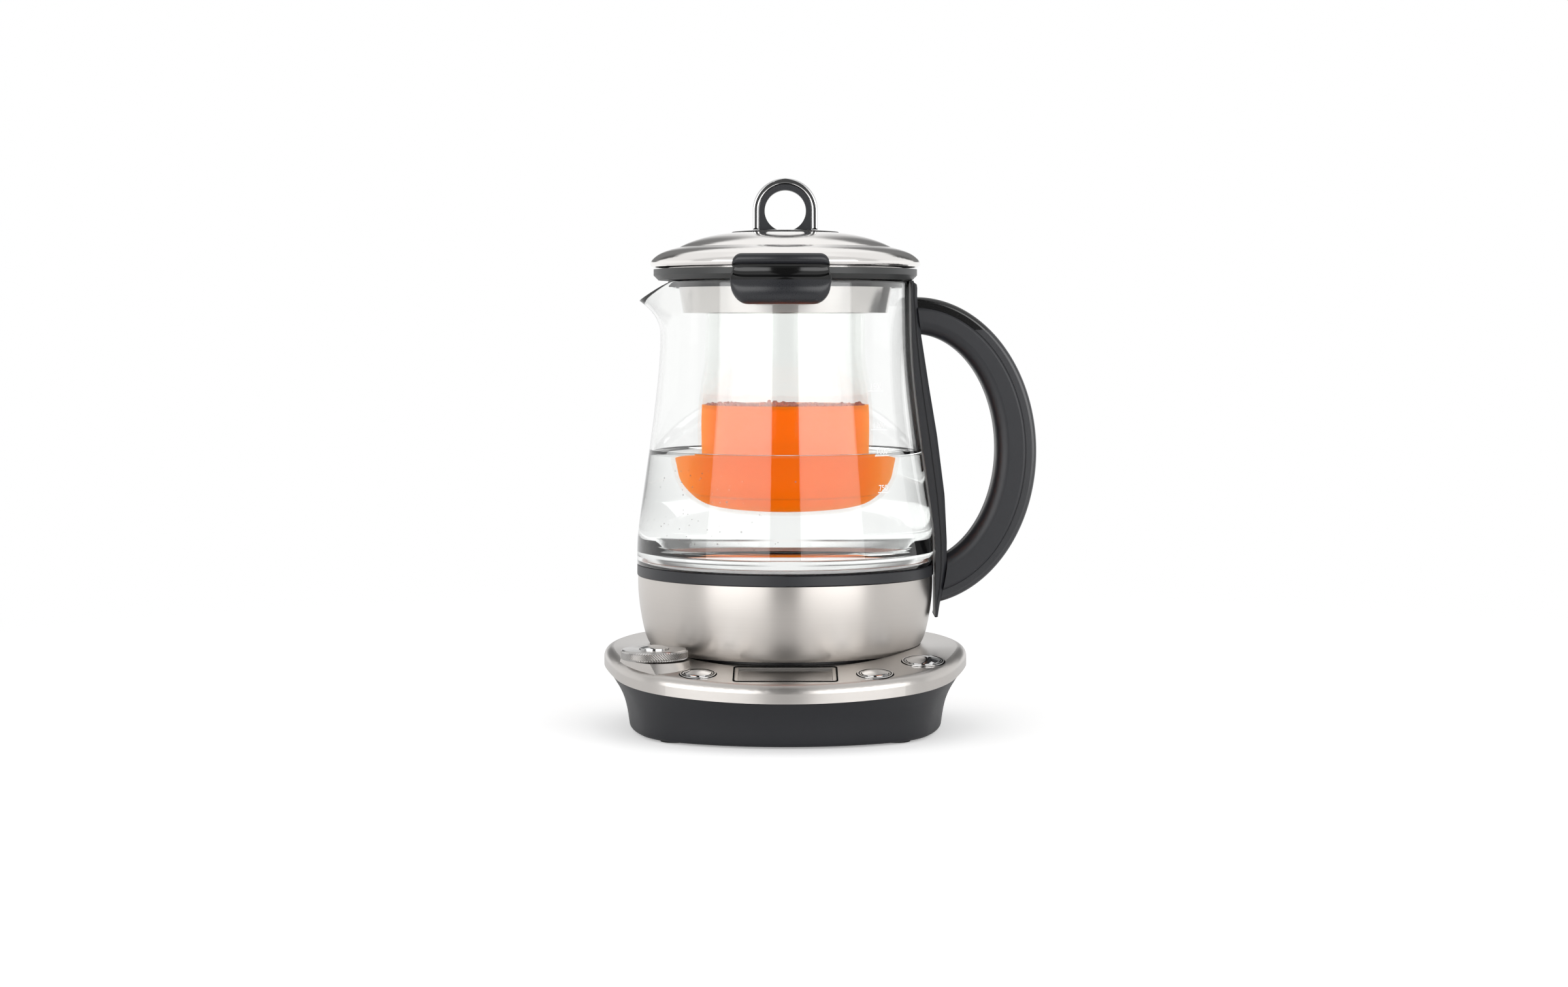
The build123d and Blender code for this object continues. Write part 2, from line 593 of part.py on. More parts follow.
export_step(bottom_cover.part, "parts/bottom_cover.step")

with BuildPart() as feet:
    with BuildSketch(JUG):
        with Locations(FEET):
            Circle(FOOT_RADIUS)
    extrude(amount=COVER_BOTTOM)
    with BuildSketch(JUG.offset(COVER_BOTTOM)):
        with Locations(FEET):
            Circle(FOOT_STEM)
    extrude(amount=COVER_WALL)
feet.part.label = "feet"
export_step(feet.part, "parts/feet.step")

with BuildPart() as base_screws:
    with BuildSketch(JUG.offset(COVER_BOTTOM)):
        with Locations(BASE_SCREWS):
            Circle(SCREW_HEAD)
    extrude(amount=SCREW_HEAD_HEIGHT)
    with BuildSketch(JUG.offset(COVER_BOTTOM + SCREW_HEAD_HEIGHT)):
        with Locations(BASE_SCREWS):
            Circle(SCREW_RADIUS)
    extrude(amount=COVER_WALL - SCREW_HEAD_HEIGHT + SCREW_DEPTH - SCREW_RESERVE)
base_screws.part.label = "base_screws"
export_step(base_screws.part, "parts/base_screws.step")

with BuildPart() as cord_inlet:
    with BuildSketch(UPRIGHT.offset(-GLAND_BACK)):
        with Locations((0, GLAND_Z)):
            Rectangle(GLAND_SIDE, GLAND_SIDE)
            Circle(GLAND_BORE, mode=Mode.SUBTRACT)
    extrude(amount=GLAND_LENGTH)
    outer_face = cord_inlet.faces().sort_by(Axis.Y)[-1]
    fillet(outer_face.outer_wire().edges(), GLAND_EDGE)
cord_inlet.part.label = "cord_inlet"
export_step(cord_inlet.part, "parts/cord_inlet.step")

# ------------------------------------------------------------------ base: cordless connector
with BuildPart() as connector_socket:
    with BuildSketch(UPRIGHT):
        section(0, SOCKET_FLANGE, SOCKET_FLANGE_BOTTOM, SOCKET_FLANGE_TOP)
        section(SOCKET_POST, SOCKET_COLLAR - SOCKET_COLLAR_WALL, TROUGH_FLOOR, SOCKET_FLANGE_TOP,
                mode=Mode.SUBTRACT)
        section(SOCKET_COLLAR - SOCKET_COLLAR_WALL, SOCKET_COLLAR, SOCKET_FLANGE_TOP, COLLAR_TOP)
        section(EARTH_PIN + SCREW_FIT, SOCKET_POST, SOCKET_FLANGE_TOP, COLLAR_TOP + POST_RISE)
    revolve(axis=JUG_AXIS)
    chamfer(connector_socket.faces().filter_by(Plane.XY).sort_by(Axis.Z)[-2:].edges(), SOCKET_CHAMFER)
connector_socket.part.label = "connector_socket"
export_step(connector_socket.part, "parts/connector_socket.step")

with BuildPart() as connector_contacts:
    with BuildSketch(UPRIGHT):
        section(0, EARTH_PIN, SOCKET_FLANGE_TOP, COLLAR_TOP + PIN_RISE)
        section(SOCKET_POST + SCREW_FIT, SOCKET_POST + CONTACT_WALL, TROUGH_FLOOR, COLLAR_TOP - CONTACT_DROP)
        section(CONTACT_RING, CONTACT_RING + CONTACT_WALL, TROUGH_FLOOR, COLLAR_TOP - CONTACT_DROP)
    revolve(axis=JUG_AXIS)
connector_contacts.part.label = "connector_contacts"
export_step(connector_contacts.part, "parts/connector_contacts.step")

# ------------------------------------------------------------------ base: display and circuit board
with BuildPart() as display_frame:
    with BuildSketch(DISPLAY_PLANE.offset(-BOARD_DROP)):
        RectangleRounded(DISPLAY_WIDTH - 2 * HANDLE_FIT, DISPLAY_DEPTH - 2 * HANDLE_FIT,
                         DISPLAY_CORNER - HANDLE_FIT)
        Rectangle(DISPLAY_WIDTH - 2 * DISPLAY_BEZEL, DISPLAY_DEPTH - 2 * DISPLAY_BEZEL, mode=Mode.SUBTRACT)
    extrude(amount=BOARD_DROP)
display_frame.part.label = "display_frame"
export_step(display_frame.part, "parts/display_frame.step")

GLAZING_EDGE = 2 * (DISPLAY_BEZEL + HANDLE_FIT)
GLAZING = (DISPLAY_WIDTH - GLAZING_EDGE, DISPLAY_DEPTH - GLAZING_EDGE)
WINDOW_BOTTOM = DISPLAY_SINK + DISPLAY_WINDOW_WALL
LCD_BOTTOM = WINDOW_BOTTOM + LCD_WALL

with BuildPart() as display_window:
    with BuildSketch(DISPLAY_PLANE.offset(-WINDOW_BOTTOM)):
        Rectangle(*GLAZING)
    extrude(amount=DISPLAY_WINDOW_WALL)
display_window.part.label = "display_window"
export_step(display_window.part, "parts/display_window.step")

with BuildPart() as lcd_module:
    with BuildSketch(DISPLAY_PLANE.offset(-LCD_BOTTOM)):
        Rectangle(*GLAZING)
    extrude(amount=LCD_WALL)
lcd_module.part.label = "lcd_module"
export_step(lcd_module.part, "parts/lcd_module.step")

with BuildPart() as lcd_holder:
    with BuildSketch(DISPLAY_PLANE.offset(-BOARD_DROP)):
        Rectangle(*GLAZING)
        Rectangle(GLAZING[0] - 4 * DISPLAY_BEZEL, GLAZING[1] - 4 * DISPLAY_BEZEL, mode=Mode.SUBTRACT)
    extrude(amount=BOARD_DROP - LCD_BOTTOM)
lcd_holder.part.label = "lcd_holder"
export_step(lcd_holder.part, "parts/lcd_holder.step")

with BuildPart() as control_board:
    with BuildSketch(DISPLAY_PLANE.offset(-BOARD_BOTTOM)):
        Rectangle(BOARD_WIDTH, BOARD_DEPTH)
        left, right, front, back = BOARD_WING
        section(left, right, front, back)
        section(left, BOARD_WIDTH / 2, 0, back)
    extrude(amount=BOARD_WALL)
    with BuildSketch(JUG):
        add(planform(BOARD_INSET))
    extrude(amount=FAR, mode=Mode.INTERSECT)
    with BuildSketch(DISPLAY_PLANE.offset(-BOARD_BOTTOM)):
        with Locations(BOARD_LUGS):
            Circle(BOARD_SCREW + HANDLE_FIT)
    extrude(amount=BOARD_WALL, mode=Mode.SUBTRACT)
control_board.part.label = "control_board"
export_step(control_board.part, "parts/control_board.step")

with BuildPart() as board_screws:
    with BuildSketch(DISPLAY_PLANE.offset(-BOARD_BOTTOM - BOARD_SCREW_HEAD_HEIGHT)):
        with Locations(BOARD_LUGS):
            Circle(BOARD_SCREW_HEAD)
    extrude(amount=BOARD_SCREW_HEAD_HEIGHT)
    with BuildSketch(DISPLAY_PLANE.offset(-BOARD_BOTTOM)):
        with Locations(BOARD_LUGS):
            Circle(BOARD_SCREW)
    extrude(amount=BOARD_BOTTOM - DECK_BOTTOM - SCREW_RESERVE)
board_screws.part.label = "board_screws"
export_step(board_screws.part, "parts/board_screws.step")

with BuildPart() as button_switches:
    for plane in BUTTON_PLANES.values():
        with BuildSketch(plane.offset(-BOARD_DROP)):
            Rectangle(SWITCH_SIDE, SWITCH_SIDE)
        extrude(amount=SWITCH_HEIGHT)
        with BuildSketch(plane.offset(-BOARD_DROP + SWITCH_HEIGHT)):
            Circle(PLUNGER_RADIUS)
        extrude(amount=PLUNGER_HEIGHT)
button_switches.part.label = "button_switches"
export_step(button_switches.part, "parts/button_switches.step")

# ------------------------------------------------------------------ base: buttons
with BuildPart() as button_rings:
    for name, plane in BUTTON_PLANES.items():
        bore = BUTTON_CAPS[name] + BUTTON_FIT
        sleeve = ring_outer(BUTTON_CAPS[name])
        with BuildSketch(plane.offset(-RING_DEPTH)):
            Circle(sleeve)
            Circle(bore, mode=Mode.SUBTRACT)
        extrude(amount=RING_DEPTH)
        with BuildSketch(plane):
            Circle(sleeve + RING_FLANGE)
            Circle(bore, mode=Mode.SUBTRACT)
        extrude(amount=RING_RISE)
button_rings.part.label = "button_rings"
export_step(button_rings.part, "parts/button_rings.step")


def push_button(plane, cap):
    """Domed cap with its stem, on a control's plane."""
    upright = Plane(origin=plane.origin, x_dir=plane.x_dir, z_dir=-plane.y_dir)
    with BuildPart(mode=Mode.PRIVATE) as button:
        with BuildSketch(upright):
            with BuildLine():
                crown = ThreePointArc((0, BUTTON_RISE + BUTTON_DOME),
                                      (cap * CROWN_SHARE, BUTTON_RISE + BUTTON_DOME * BUTTON_CROWN_SHOULDER),
                                      (cap, BUTTON_RISE))
                Polyline(crown @ 1, (cap, -BUTTON_SKIRT), (BUTTON_STEM, -BUTTON_SKIRT),
                         (BUTTON_STEM, -BUTTON_STEM_END), (0, -BUTTON_STEM_END), crown @ 0)
            make_face()
        revolve(axis=Axis(plane.origin, plane.z_dir))
    return button.part


with BuildPart() as button_hot_water:
    add(push_button(BUTTON_PLANES["button_hot_water"], BUTTON_CAPS["button_hot_water"]))
button_hot_water.part.label = "button_hot_water"
export_step(button_hot_water.part, "parts/button_hot_water.step")

with BuildPart() as button_tea:
    add(push_button(BUTTON_PLANES["button_tea"], BUTTON_CAPS["button_tea"]))
button_tea.part.label = "button_tea"
export_step(button_tea.part, "parts/button_tea.step")

with BuildPart() as button_start:
    add(push_button(BUTTON_PLANES["button_start"], BUTTON_CAPS["button_start"]))
button_start.part.label = "button_start"
export_step(button_start.part, "parts/button_start.step")

# ------------------------------------------------------------------ base: dial
DIAL_AXIS = Axis(DIAL_PLANE.origin, (0, 0, 1))
DIAL_UPRIGHT = Plane(origin=(AXIS_X + DIAL_X, AXIS_Y - DIAL_AHEAD, 0), x_dir=(1, 0, 0), z_dir=(0, -1, 0))
DIAL_BOTTOM = BOSS_TOP + DIAL_GAP
DIAL_TOP = DIAL_BOTTOM + DIAL_HEIGHT
DIAL_BUTTON_BOTTOM = DIAL_BOTTOM + DIAL_FLOOR + BUTTON_TRAVEL + HANDLE_FIT

with BuildPart() as dial_knob:
    with BuildSketch(DIAL_UPRIGHT):
        section(DIAL_BORE, DIAL_RADIUS, DIAL_BOTTOM, DIAL_TOP)
        section(DIAL_SLEEVE - DIAL_SLEEVE_WALL, DIAL_BORE, DIAL_BOTTOM, DIAL_BOTTOM + DIAL_FLOOR)
        section(DIAL_SLEEVE - DIAL_SLEEVE_WALL, DIAL_SLEEVE, DIAL_BOTTOM - DIAL_SLEEVE_LENGTH, DIAL_BOTTOM)
    revolve(axis=DIAL_AXIS)
    circles = dial_knob.edges().filter_by(GeomType.CIRCLE)
    rims = circles.filter_by(lambda edge: edge.radius > DIAL_RADIUS - DIAL_CHAMFER)
    chamfer(rims, DIAL_CHAMFER)
dial_knob.part.label = "dial_knob"
export_step(dial_knob.part, "parts/dial_knob.step")

with BuildPart() as dial_encoder:
    with BuildSketch(DIAL_UPRIGHT):
        section(DIAL_BUTTON_STEM + RUNNING_FIT, ENCODER_RADIUS, ENCODER_BOTTOM, ENCODER_TOP)
        section(0, DIAL_SLEEVE + RUNNING_FIT, ENCODER_BOTTOM + ENCODER_FLOOR, ENCODER_TOP, mode=Mode.SUBTRACT)
    revolve(axis=DIAL_AXIS)
dial_encoder.part.label = "dial_encoder"
export_step(dial_encoder.part, "parts/dial_encoder.step")

with BuildPart() as dial_button:
    with BuildSketch(DIAL_UPRIGHT):
        with BuildLine():
            crown = ThreePointArc((0, DIAL_TOP + DIAL_BUTTON_RISE),
                                  (DIAL_BUTTON_RADIUS * CROWN_SHARE,
                                   DIAL_TOP + DIAL_BUTTON_RISE * DIAL_CROWN_SHOULDER),
                                  (DIAL_BUTTON_RADIUS, DIAL_TOP + DIAL_BUTTON_RISE * DIAL_CROWN_EDGE))
            Polyline(crown @ 1, (DIAL_BUTTON_RADIUS, DIAL_BUTTON_BOTTOM),
                     (DIAL_BUTTON_STEM, DIAL_BUTTON_BOTTOM),
                     (DIAL_BUTTON_STEM, ENCODER_BOTTOM + BUTTON_TRAVEL + HANDLE_FIT),
                     (0, ENCODER_BOTTOM + BUTTON_TRAVEL + HANDLE_FIT), crown @ 0)
        make_face()
    revolve(axis=DIAL_AXIS)
dial_button.part.label = "dial_button"
export_step(dial_button.part, "parts/dial_button.step")

# ------------------------------------------------------------------ jug: lower part


def drawn_in(curve, wall):
    """Points beside a curve, on its left, at the distance of a wall."""
    points = []
    for share in (0, 0.1, 0.2, 0.32, 0.45, 0.6, 0.75, 0.88, 1):
        spot, run = curve @ share, curve % share
        points.append((spot.X - wall * run.Y, spot.Y + wall * run.X))
    return points


def bowl_points(spread):
    """Points of the bowl's wall from its foot to its top, moved outward by spread."""
    depth = BOWL_TOP - BOWL_BOTTOM
    return [(BOWL_FOOT_RADIUS + spread, BOWL_BOTTOM),
            *((radius + spread, BOWL_BOTTOM + share * depth) for share, radius in BOWL_FORM),
            (BOWL_TOP_RADIUS + spread, BOWL_TOP)]


def glass_points(spread):
    """Points of the glass's wall from its foot to its rim, moved outward by spread."""
    return [(radius + spread, GLASS_FOOT + share * (GLASS_RIM - GLASS_FOOT)) for share, radius in GLASS_FORM]


def jug_form(spread):
    """Solid outer form of the bowl, its ring and the glass, spread outward."""
    with BuildPart(mode=Mode.PRIVATE) as form:
        with BuildSketch(UPRIGHT):
            with BuildLine():
                bowl = Spline(*bowl_points(spread))
                glass = Spline(*glass_points(spread))
                Polyline(bowl @ 1, (SEAT_RING_OUTER + spread, BOWL_TOP), glass @ 0)
                Polyline(glass @ 1, (0, GLASS_RIM), (0, BOWL_BOTTOM), bowl @ 0)
            make_face()
        revolve(axis=JUG_AXIS)
    return form.part


COVER_FLOOR = BOWL_BOTTOM + BOWL_SHEET
COUPLER_FLANGE_BOTTOM = COVER_FLOOR + BASE_COVER_WALL + HANDLE_FIT
STAND_Z = SEAT_Z + JUG_STAND_GAP
COUPLER_BOTTOM = STAND_Z + COUPLER_FIT
COUPLER_ROOF = COLLAR_TOP + POST_RISE + COUPLER_FIT
HEATER_BOTTOM = HEATER_PLATE_TOP - HEATER_PLATE_WALL

with BuildPart() as steel_bowl:
    with BuildSketch(UPRIGHT):
        with BuildLine():
            outside = Spline(*bowl_points(0))
            inside = Spline(*drawn_in(outside, BOWL_SHEET))
            Line(outside @ 0, inside @ 0)
            Line(outside @ 1, inside @ 1)
        make_face()
        section(BOWL_FLANGE_INNER, BOWL_FOOT_RADIUS, BOWL_BOTTOM, BOWL_BOTTOM + BOWL_SHEET)
    revolve(axis=JUG_AXIS)
steel_bowl.part.label = "steel_bowl"
export_step(steel_bowl.part, "parts/steel_bowl.step")

with BuildPart() as jug_base_cover:
    with BuildSketch(UPRIGHT):
        section(COUPLER_OUTER + COUPLER_PLAY, BASE_COVER_OUTER, COVER_FLOOR, COVER_FLOOR + BASE_COVER_WALL)
        section(STAND_RING_INNER, STAND_RING_OUTER, STAND_Z, COVER_FLOOR)
    revolve(axis=JUG_AXIS)
jug_base_cover.part.label = "jug_base_cover"
export_step(jug_base_cover.part, "parts/jug_base_cover.step")

with BuildPart() as jug_coupler:
    with BuildSketch(UPRIGHT):
        section(0, COUPLER_OUTER, COUPLER_ROOF, COUPLER_TOP)
        section(SOCKET_COLLAR + 2 * COUPLER_PLAY, COUPLER_OUTER, COUPLER_BOTTOM, COUPLER_ROOF)
        section(SOCKET_POST + CONTACT_WALL + COUPLER_FIT, CONTACT_RING - COUPLER_FIT,
                COUPLER_BOTTOM, COUPLER_ROOF)
        section(CONTACT_RING + CONTACT_WALL + COUPLER_FIT, SOCKET_COLLAR - SOCKET_COLLAR_WALL - COUPLER_FIT,
                COUPLER_BOTTOM, COUPLER_ROOF)
        section(COUPLER_OUTER, COUPLER_FLANGE, COUPLER_FLANGE_BOTTOM,
                COUPLER_FLANGE_BOTTOM + COUPLER_FLANGE_WALL)
        section(0, COUPLER_PIN_HOLE, COUPLER_ROOF, COLLAR_TOP + PIN_RISE + COUPLER_FIT, mode=Mode.SUBTRACT)
    revolve(axis=JUG_AXIS)
jug_coupler.part.label = "jug_coupler"
export_step(jug_coupler.part, "parts/jug_coupler.step")

with BuildPart() as seat_ring:
    with BuildSketch(UPRIGHT):
        section(SEAT_RING_INNER, SEAT_RING_OUTER, BOWL_TOP, SEAT_RING_TOP)
    revolve(axis=JUG_AXIS)
    fillet(seat_ring.edges().filter_by(GeomType.CIRCLE).sort_by(SortBy.LENGTH)[-2:], SEAT_RING_ROUND)
seat_ring.part.label = "seat_ring"
export_step(seat_ring.part, "parts/seat_ring.step")

with BuildPart() as heating_plate:
    with BuildSketch(UPRIGHT):
        section(SENSOR_RADIUS + SCREW_FIT, PLATE_DISC, HEATER_BOTTOM, HEATER_PLATE_TOP)
        section(PLATE_DISC - HEATER_PLATE_WALL, PLATE_DISC, HEATER_PLATE_TOP - HEATER_SKIRT, HEATER_PLATE_TOP)
    revolve(axis=JUG_AXIS)
heating_plate.part.label = "heating_plate"
export_step(heating_plate.part, "parts/heating_plate.step")

with BuildPart() as plate_seal:
    with BuildSketch(UPRIGHT):
        section(PLATE_DISC + SCREW_FIT, PLATE_SEAL_OUTER, SEAT_RING_TOP, SEAT_RING_TOP + PLATE_SEAL_HEIGHT)
    revolve(axis=JUG_AXIS)
plate_seal.part.label = "plate_seal"
export_step(plate_seal.part, "parts/plate_seal.step")

with BuildPart() as heating_element:
    with BuildSketch(UPRIGHT):
        section(ELEMENT_RADIUS - ELEMENT_HALF_WIDTH, ELEMENT_RADIUS + ELEMENT_HALF_WIDTH,
                HEATER_BOTTOM - ELEMENT_HEIGHT, HEATER_BOTTOM)
    revolve(axis=JUG_AXIS)
heating_element.part.label = "heating_element"
export_step(heating_element.part, "parts/heating_element.step")

with BuildPart() as temperature_sensor:
    with BuildSketch(UPRIGHT):
        section(0, SENSOR_RADIUS, HEATER_PLATE_TOP - SENSOR_DROP, HEATER_PLATE_TOP + SENSOR_RISE)
    revolve(axis=JUG_AXIS)
temperature_sensor.part.label = "temperature_sensor"
export_step(temperature_sensor.part, "parts/temperature_sensor.step")

# ------------------------------------------------------------------ jug: glass body


def spout_form(wall):
    """Widening spout on the jug's left, drawn in by a wall."""
    with BuildPart(mode=Mode.PRIVATE) as spout:
        for below, beyond, half_width in SPOUT_FORM:
            with BuildSketch(JUG.offset(GLASS_RIM - below)):
                with Locations((-SPOUT_ROOT, 0)):
                    Ellipse(SPOUT_TIP + beyond - SPOUT_ROOT - wall, half_width - wall)
        loft()
    return spout.part


with BuildPart() as glass_body:
    with BuildSketch(UPRIGHT):
        with BuildLine():
            outside = Spline(*glass_points(0))
            Polyline(outside @ 1, (0, GLASS_RIM), (0, GLASS_FOOT), outside @ 0)
        make_face()
    revolve(axis=JUG_AXIS)
    add(spout_form(0))
    with BuildSketch(UPRIGHT):
        with BuildLine():
            inside = Spline(*drawn_in(outside, GLASS_WALL))
            top = Line(inside @ 1, (inside @ 1) + (0, GLASS_WALL))
            low = Line(inside @ 0, (inside @ 0) - (0, GLASS_WALL))
            Polyline(top @ 1, (0, (top @ 1).Y), (0, (low @ 1).Y), low @ 1)
        make_face()
    revolve(axis=JUG_AXIS, mode=Mode.SUBTRACT)
    add(spout_form(GLASS_WALL), mode=Mode.SUBTRACT)
    # the rim is level and falls towards the spout's tip
    slope = SPOUT_TIP_DROP / (SPOUT_TIP - SPOUT_START)
    with BuildSketch(UPRIGHT):
        Polygon((GLASS_FORM[0][1], GLASS_RIM), (-SPOUT_START, GLASS_RIM),
                (-FAR, GLASS_RIM - slope * (FAR - SPOUT_START)), (-FAR, FAR * 2), (GLASS_FORM[0][1], FAR * 2),
                align=None)
    extrude(amount=FAR, both=True, mode=Mode.SUBTRACT)
glass_body.part.label = "glass_body"
export_step(glass_body.part, "parts/glass_body.step")

# ------------------------------------------------------------------ jug: handle


def strap_side(beyond):
    """Everything between the jug's axis and the strap's back, moved out by beyond."""
    with BuildPart(mode=Mode.PRIVATE) as side:
        with BuildSketch(UPRIGHT):
            with BuildLine():
                back = Spline(*((reach + beyond, STRAP_BOTTOM + share * (STRAP_TOP - STRAP_BOTTOM))
                                for share, reach in STRAP_FORM))
                Polyline(back @ 1, (0, STRAP_TOP), (0, STRAP_BOTTOM), back @ 0)
            make_face()
        extrude(amount=STRAP_WIDTH / 2, both=True)
    return side.part


def handle_screw_form(head, shank, hole_end):
    """Bodies of the two screws that join the strap and the grip."""
    with BuildPart(mode=Mode.PRIVATE) as form:
        for height, start in HANDLE_SCREWS:
            seat = Plane(origin=(AXIS_X + start, AXIS_Y, height), x_dir=(0, 1, 0), z_dir=(1, 0, 0))
            with BuildSketch(seat):
                Circle(head)
            extrude(amount=HANDLE_SCREW_HEAD_WALL)
            with BuildSketch(seat):
                Circle(shank)
            extrude(amount=hole_end)
    return form.part


def handle_ring(reach, half_height, inner_reach, inner_half_height, width):
    """Upright elliptical ring about the handle's centre."""
    with BuildPart(mode=Mode.PRIVATE) as ring:
        with BuildSketch(UPRIGHT):
            with Locations((HANDLE_CENTRE_X, HANDLE_CENTRE_Z)):
                Ellipse(reach, half_height)
        extrude(amount=width / 2, both=True)
        with BuildSketch(UPRIGHT):
            raise_by = 0 if inner_reach > HANDLE_INNER_REACH else HANDLE_INNER_RAISE
            with Locations((HANDLE_CENTRE_X, HANDLE_CENTRE_Z + raise_by)):
                Ellipse(inner_reach, inner_half_height)
        extrude(amount=width / 2, both=True, mode=Mode.SUBTRACT)
    return ring.part


def long_edges(ring, inner):
    """The two elliptical edges of a handle ring, at its inside or its outside."""
    ordered = ring.edges().filter_by(GeomType.ELLIPSE).sort_by(SortBy.LENGTH)
    return ordered[:2] if inner else ordered[-2:]


SEAM_REACH = HANDLE_REACH - HANDLE_CENTRE_X - HANDLE_COVER_WALL
SEAM_HALF_HEIGHT = HANDLE_HALF_HEIGHT - HANDLE_COVER_WALL

with BuildPart() as handle_strap:
    add(strap_side(0))
    add(jug_form(STRAP_FIT), mode=Mode.SUBTRACT)
    fillet(handle_strap.edges().filter_by(Axis.Y).group_by(Axis.X)[-1], STRAP_ROUND)
    add(handle_screw_form(HANDLE_SCREW_HEAD + SCREW_FIT, HANDLE_SCREW + SCREW_FIT, HANDLE_SCREW_LENGTH),
        mode=Mode.SUBTRACT)
handle_strap.part.label = "handle_strap"
export_step(handle_strap.part, "parts/handle_strap.step")

with BuildPart() as handle_grip:
    add(handle_ring(SEAM_REACH, SEAM_HALF_HEIGHT, HANDLE_INNER_REACH, HANDLE_INNER_HALF_HEIGHT, GRIP_WIDTH))
    fillet(long_edges(handle_grip, inner=True), GRIP_ROUND)
    fillet(long_edges(handle_grip, inner=False), (GRIP_WIDTH - COVER_WIDTH) / 2)
    add(strap_side(HANDLE_FIT), mode=Mode.SUBTRACT)
    with BuildSketch(UPRIGHT):
        section(-FAR, HANDLE_CENTRE_X, 0, 2 * FAR)
    extrude(amount=GRIP_WIDTH, both=True, mode=Mode.SUBTRACT)
    hole = HANDLE_SCREW + SCREW_FIT
    add(handle_screw_form(hole, hole, HANDLE_SCREW_LENGTH + SCREW_RESERVE), mode=Mode.SUBTRACT)
handle_grip.part.label = "handle_grip"
export_step(handle_grip.part, "parts/handle_grip.step")

with BuildPart() as handle_cover:
    add(handle_ring(HANDLE_REACH - HANDLE_CENTRE_X, HANDLE_HALF_HEIGHT, SEAM_REACH + HANDLE_FIT,
                    SEAM_HALF_HEIGHT + HANDLE_FIT, COVER_WIDTH))
    fillet(long_edges(handle_cover, inner=False), COVER_ROUND)
    add(strap_side(HANDLE_FIT), mode=Mode.SUBTRACT)
    with BuildSketch(UPRIGHT):
        section(-FAR, HANDLE_CENTRE_X, 0, 2 * FAR)
    extrude(amount=GRIP_WIDTH, both=True, mode=Mode.SUBTRACT)
handle_cover.part.label = "handle_cover"
export_step(handle_cover.part, "parts/handle_cover.step")

with BuildPart() as handle_screws:
    add(handle_screw_form(HANDLE_SCREW_HEAD, HANDLE_SCREW, HANDLE_SCREW_LENGTH))
handle_screws.part.label = "handle_screws"
export_step(handle_screws.part, "parts/handle_screws.step")

# ------------------------------------------------------------------ insert
RIM_LIP_Z = RIM_TOP + HANDLE_FIT
SEAL_BOTTOM = COLLAR_BOTTOM + COLLAR_SHEET
FLANGE_BOTTOM = SEAL_BOTTOM + SEAL_WALL

with BuildPart() as insert_rim:
    with BuildSketch(UPRIGHT):
        section(RIM_INNER, RIM_OUTER, RIM_BOTTOM, RIM_TOP)
        section(RIM_SKIRT_INNER, RIM_SKIRT_OUTER, RIM_BOTTOM - RIM_SKIRT_DROP, RIM_BOTTOM)
    revolve(axis=JUG_AXIS)
    outer_edges = insert_rim.edges().filter_by(GeomType.CIRCLE).sort_by(SortBy.LENGTH)[-2:]
    chamfer(outer_edges.sort_by(Axis.Z)[0], RIM_CHAMFER)
insert_rim.part.label = "insert_rim"
export_step(insert_rim.part, "parts/insert_rim.step")

with BuildPart() as insert_collar:
    with BuildSketch(UPRIGHT):
        with BuildLine():
            Polyline((COLLAR_LIP, RIM_LIP_Z), (COLLAR_LIP, RIM_LIP_Z + COLLAR_SHEET),
                     (COLLAR_TOP_RADIUS - COLLAR_SHEET, RIM_LIP_Z + COLLAR_SHEET),
                     (COLLAR_BOTTOM_RADIUS - COLLAR_SHEET, SEAL_BOTTOM), (COLLAR_HOLE, SEAL_BOTTOM),
                     (COLLAR_HOLE, COLLAR_BOTTOM), (COLLAR_BOTTOM_RADIUS, COLLAR_BOTTOM),
                     (COLLAR_TOP_RADIUS, RIM_LIP_Z), close=True)
        make_face()
    revolve(axis=JUG_AXIS)
insert_collar.part.label = "insert_collar"
export_step(insert_collar.part, "parts/insert_collar.step")

with BuildPart() as insert_seal:
    with BuildSketch(UPRIGHT):
        section(INSERT_NECK + HANDLE_FIT, SEAL_OUTER, SEAL_BOTTOM, FLANGE_BOTTOM)
    revolve(axis=JUG_AXIS)
insert_seal.part.label = "insert_seal"
export_step(insert_seal.part, "parts/insert_seal.step")

with BuildPart() as insert_glass:
    with BuildSketch(UPRIGHT):
        with BuildLine():
            wall = [(radius, INSERT_BOTTOM + share * INSERT_DEPTH) for share, radius in INSERT_FORM]
            outside = Spline((0, INSERT_BOTTOM), *wall, tangents=((1, 0), (0, 1)))
            inside = Spline(*drawn_in(outside, INSERT_WALL), tangents=((1, 0), (0, 1)))
            Line(outside @ 0, inside @ 0)
            Polyline(outside @ 1, (INSERT_NECK, FLANGE_BOTTOM), (INSERT_FLANGE, FLANGE_BOTTOM),
                     (INSERT_FLANGE, FLANGE_BOTTOM + INSERT_FLANGE_WALL),
                     (INSERT_NECK - INSERT_WALL, FLANGE_BOTTOM + INSERT_FLANGE_WALL), inside @ 1)
        make_face()
    revolve(axis=JUG_AXIS)
insert_glass.part.label = "insert_glass"
export_step(insert_glass.part, "parts/insert_glass.step")


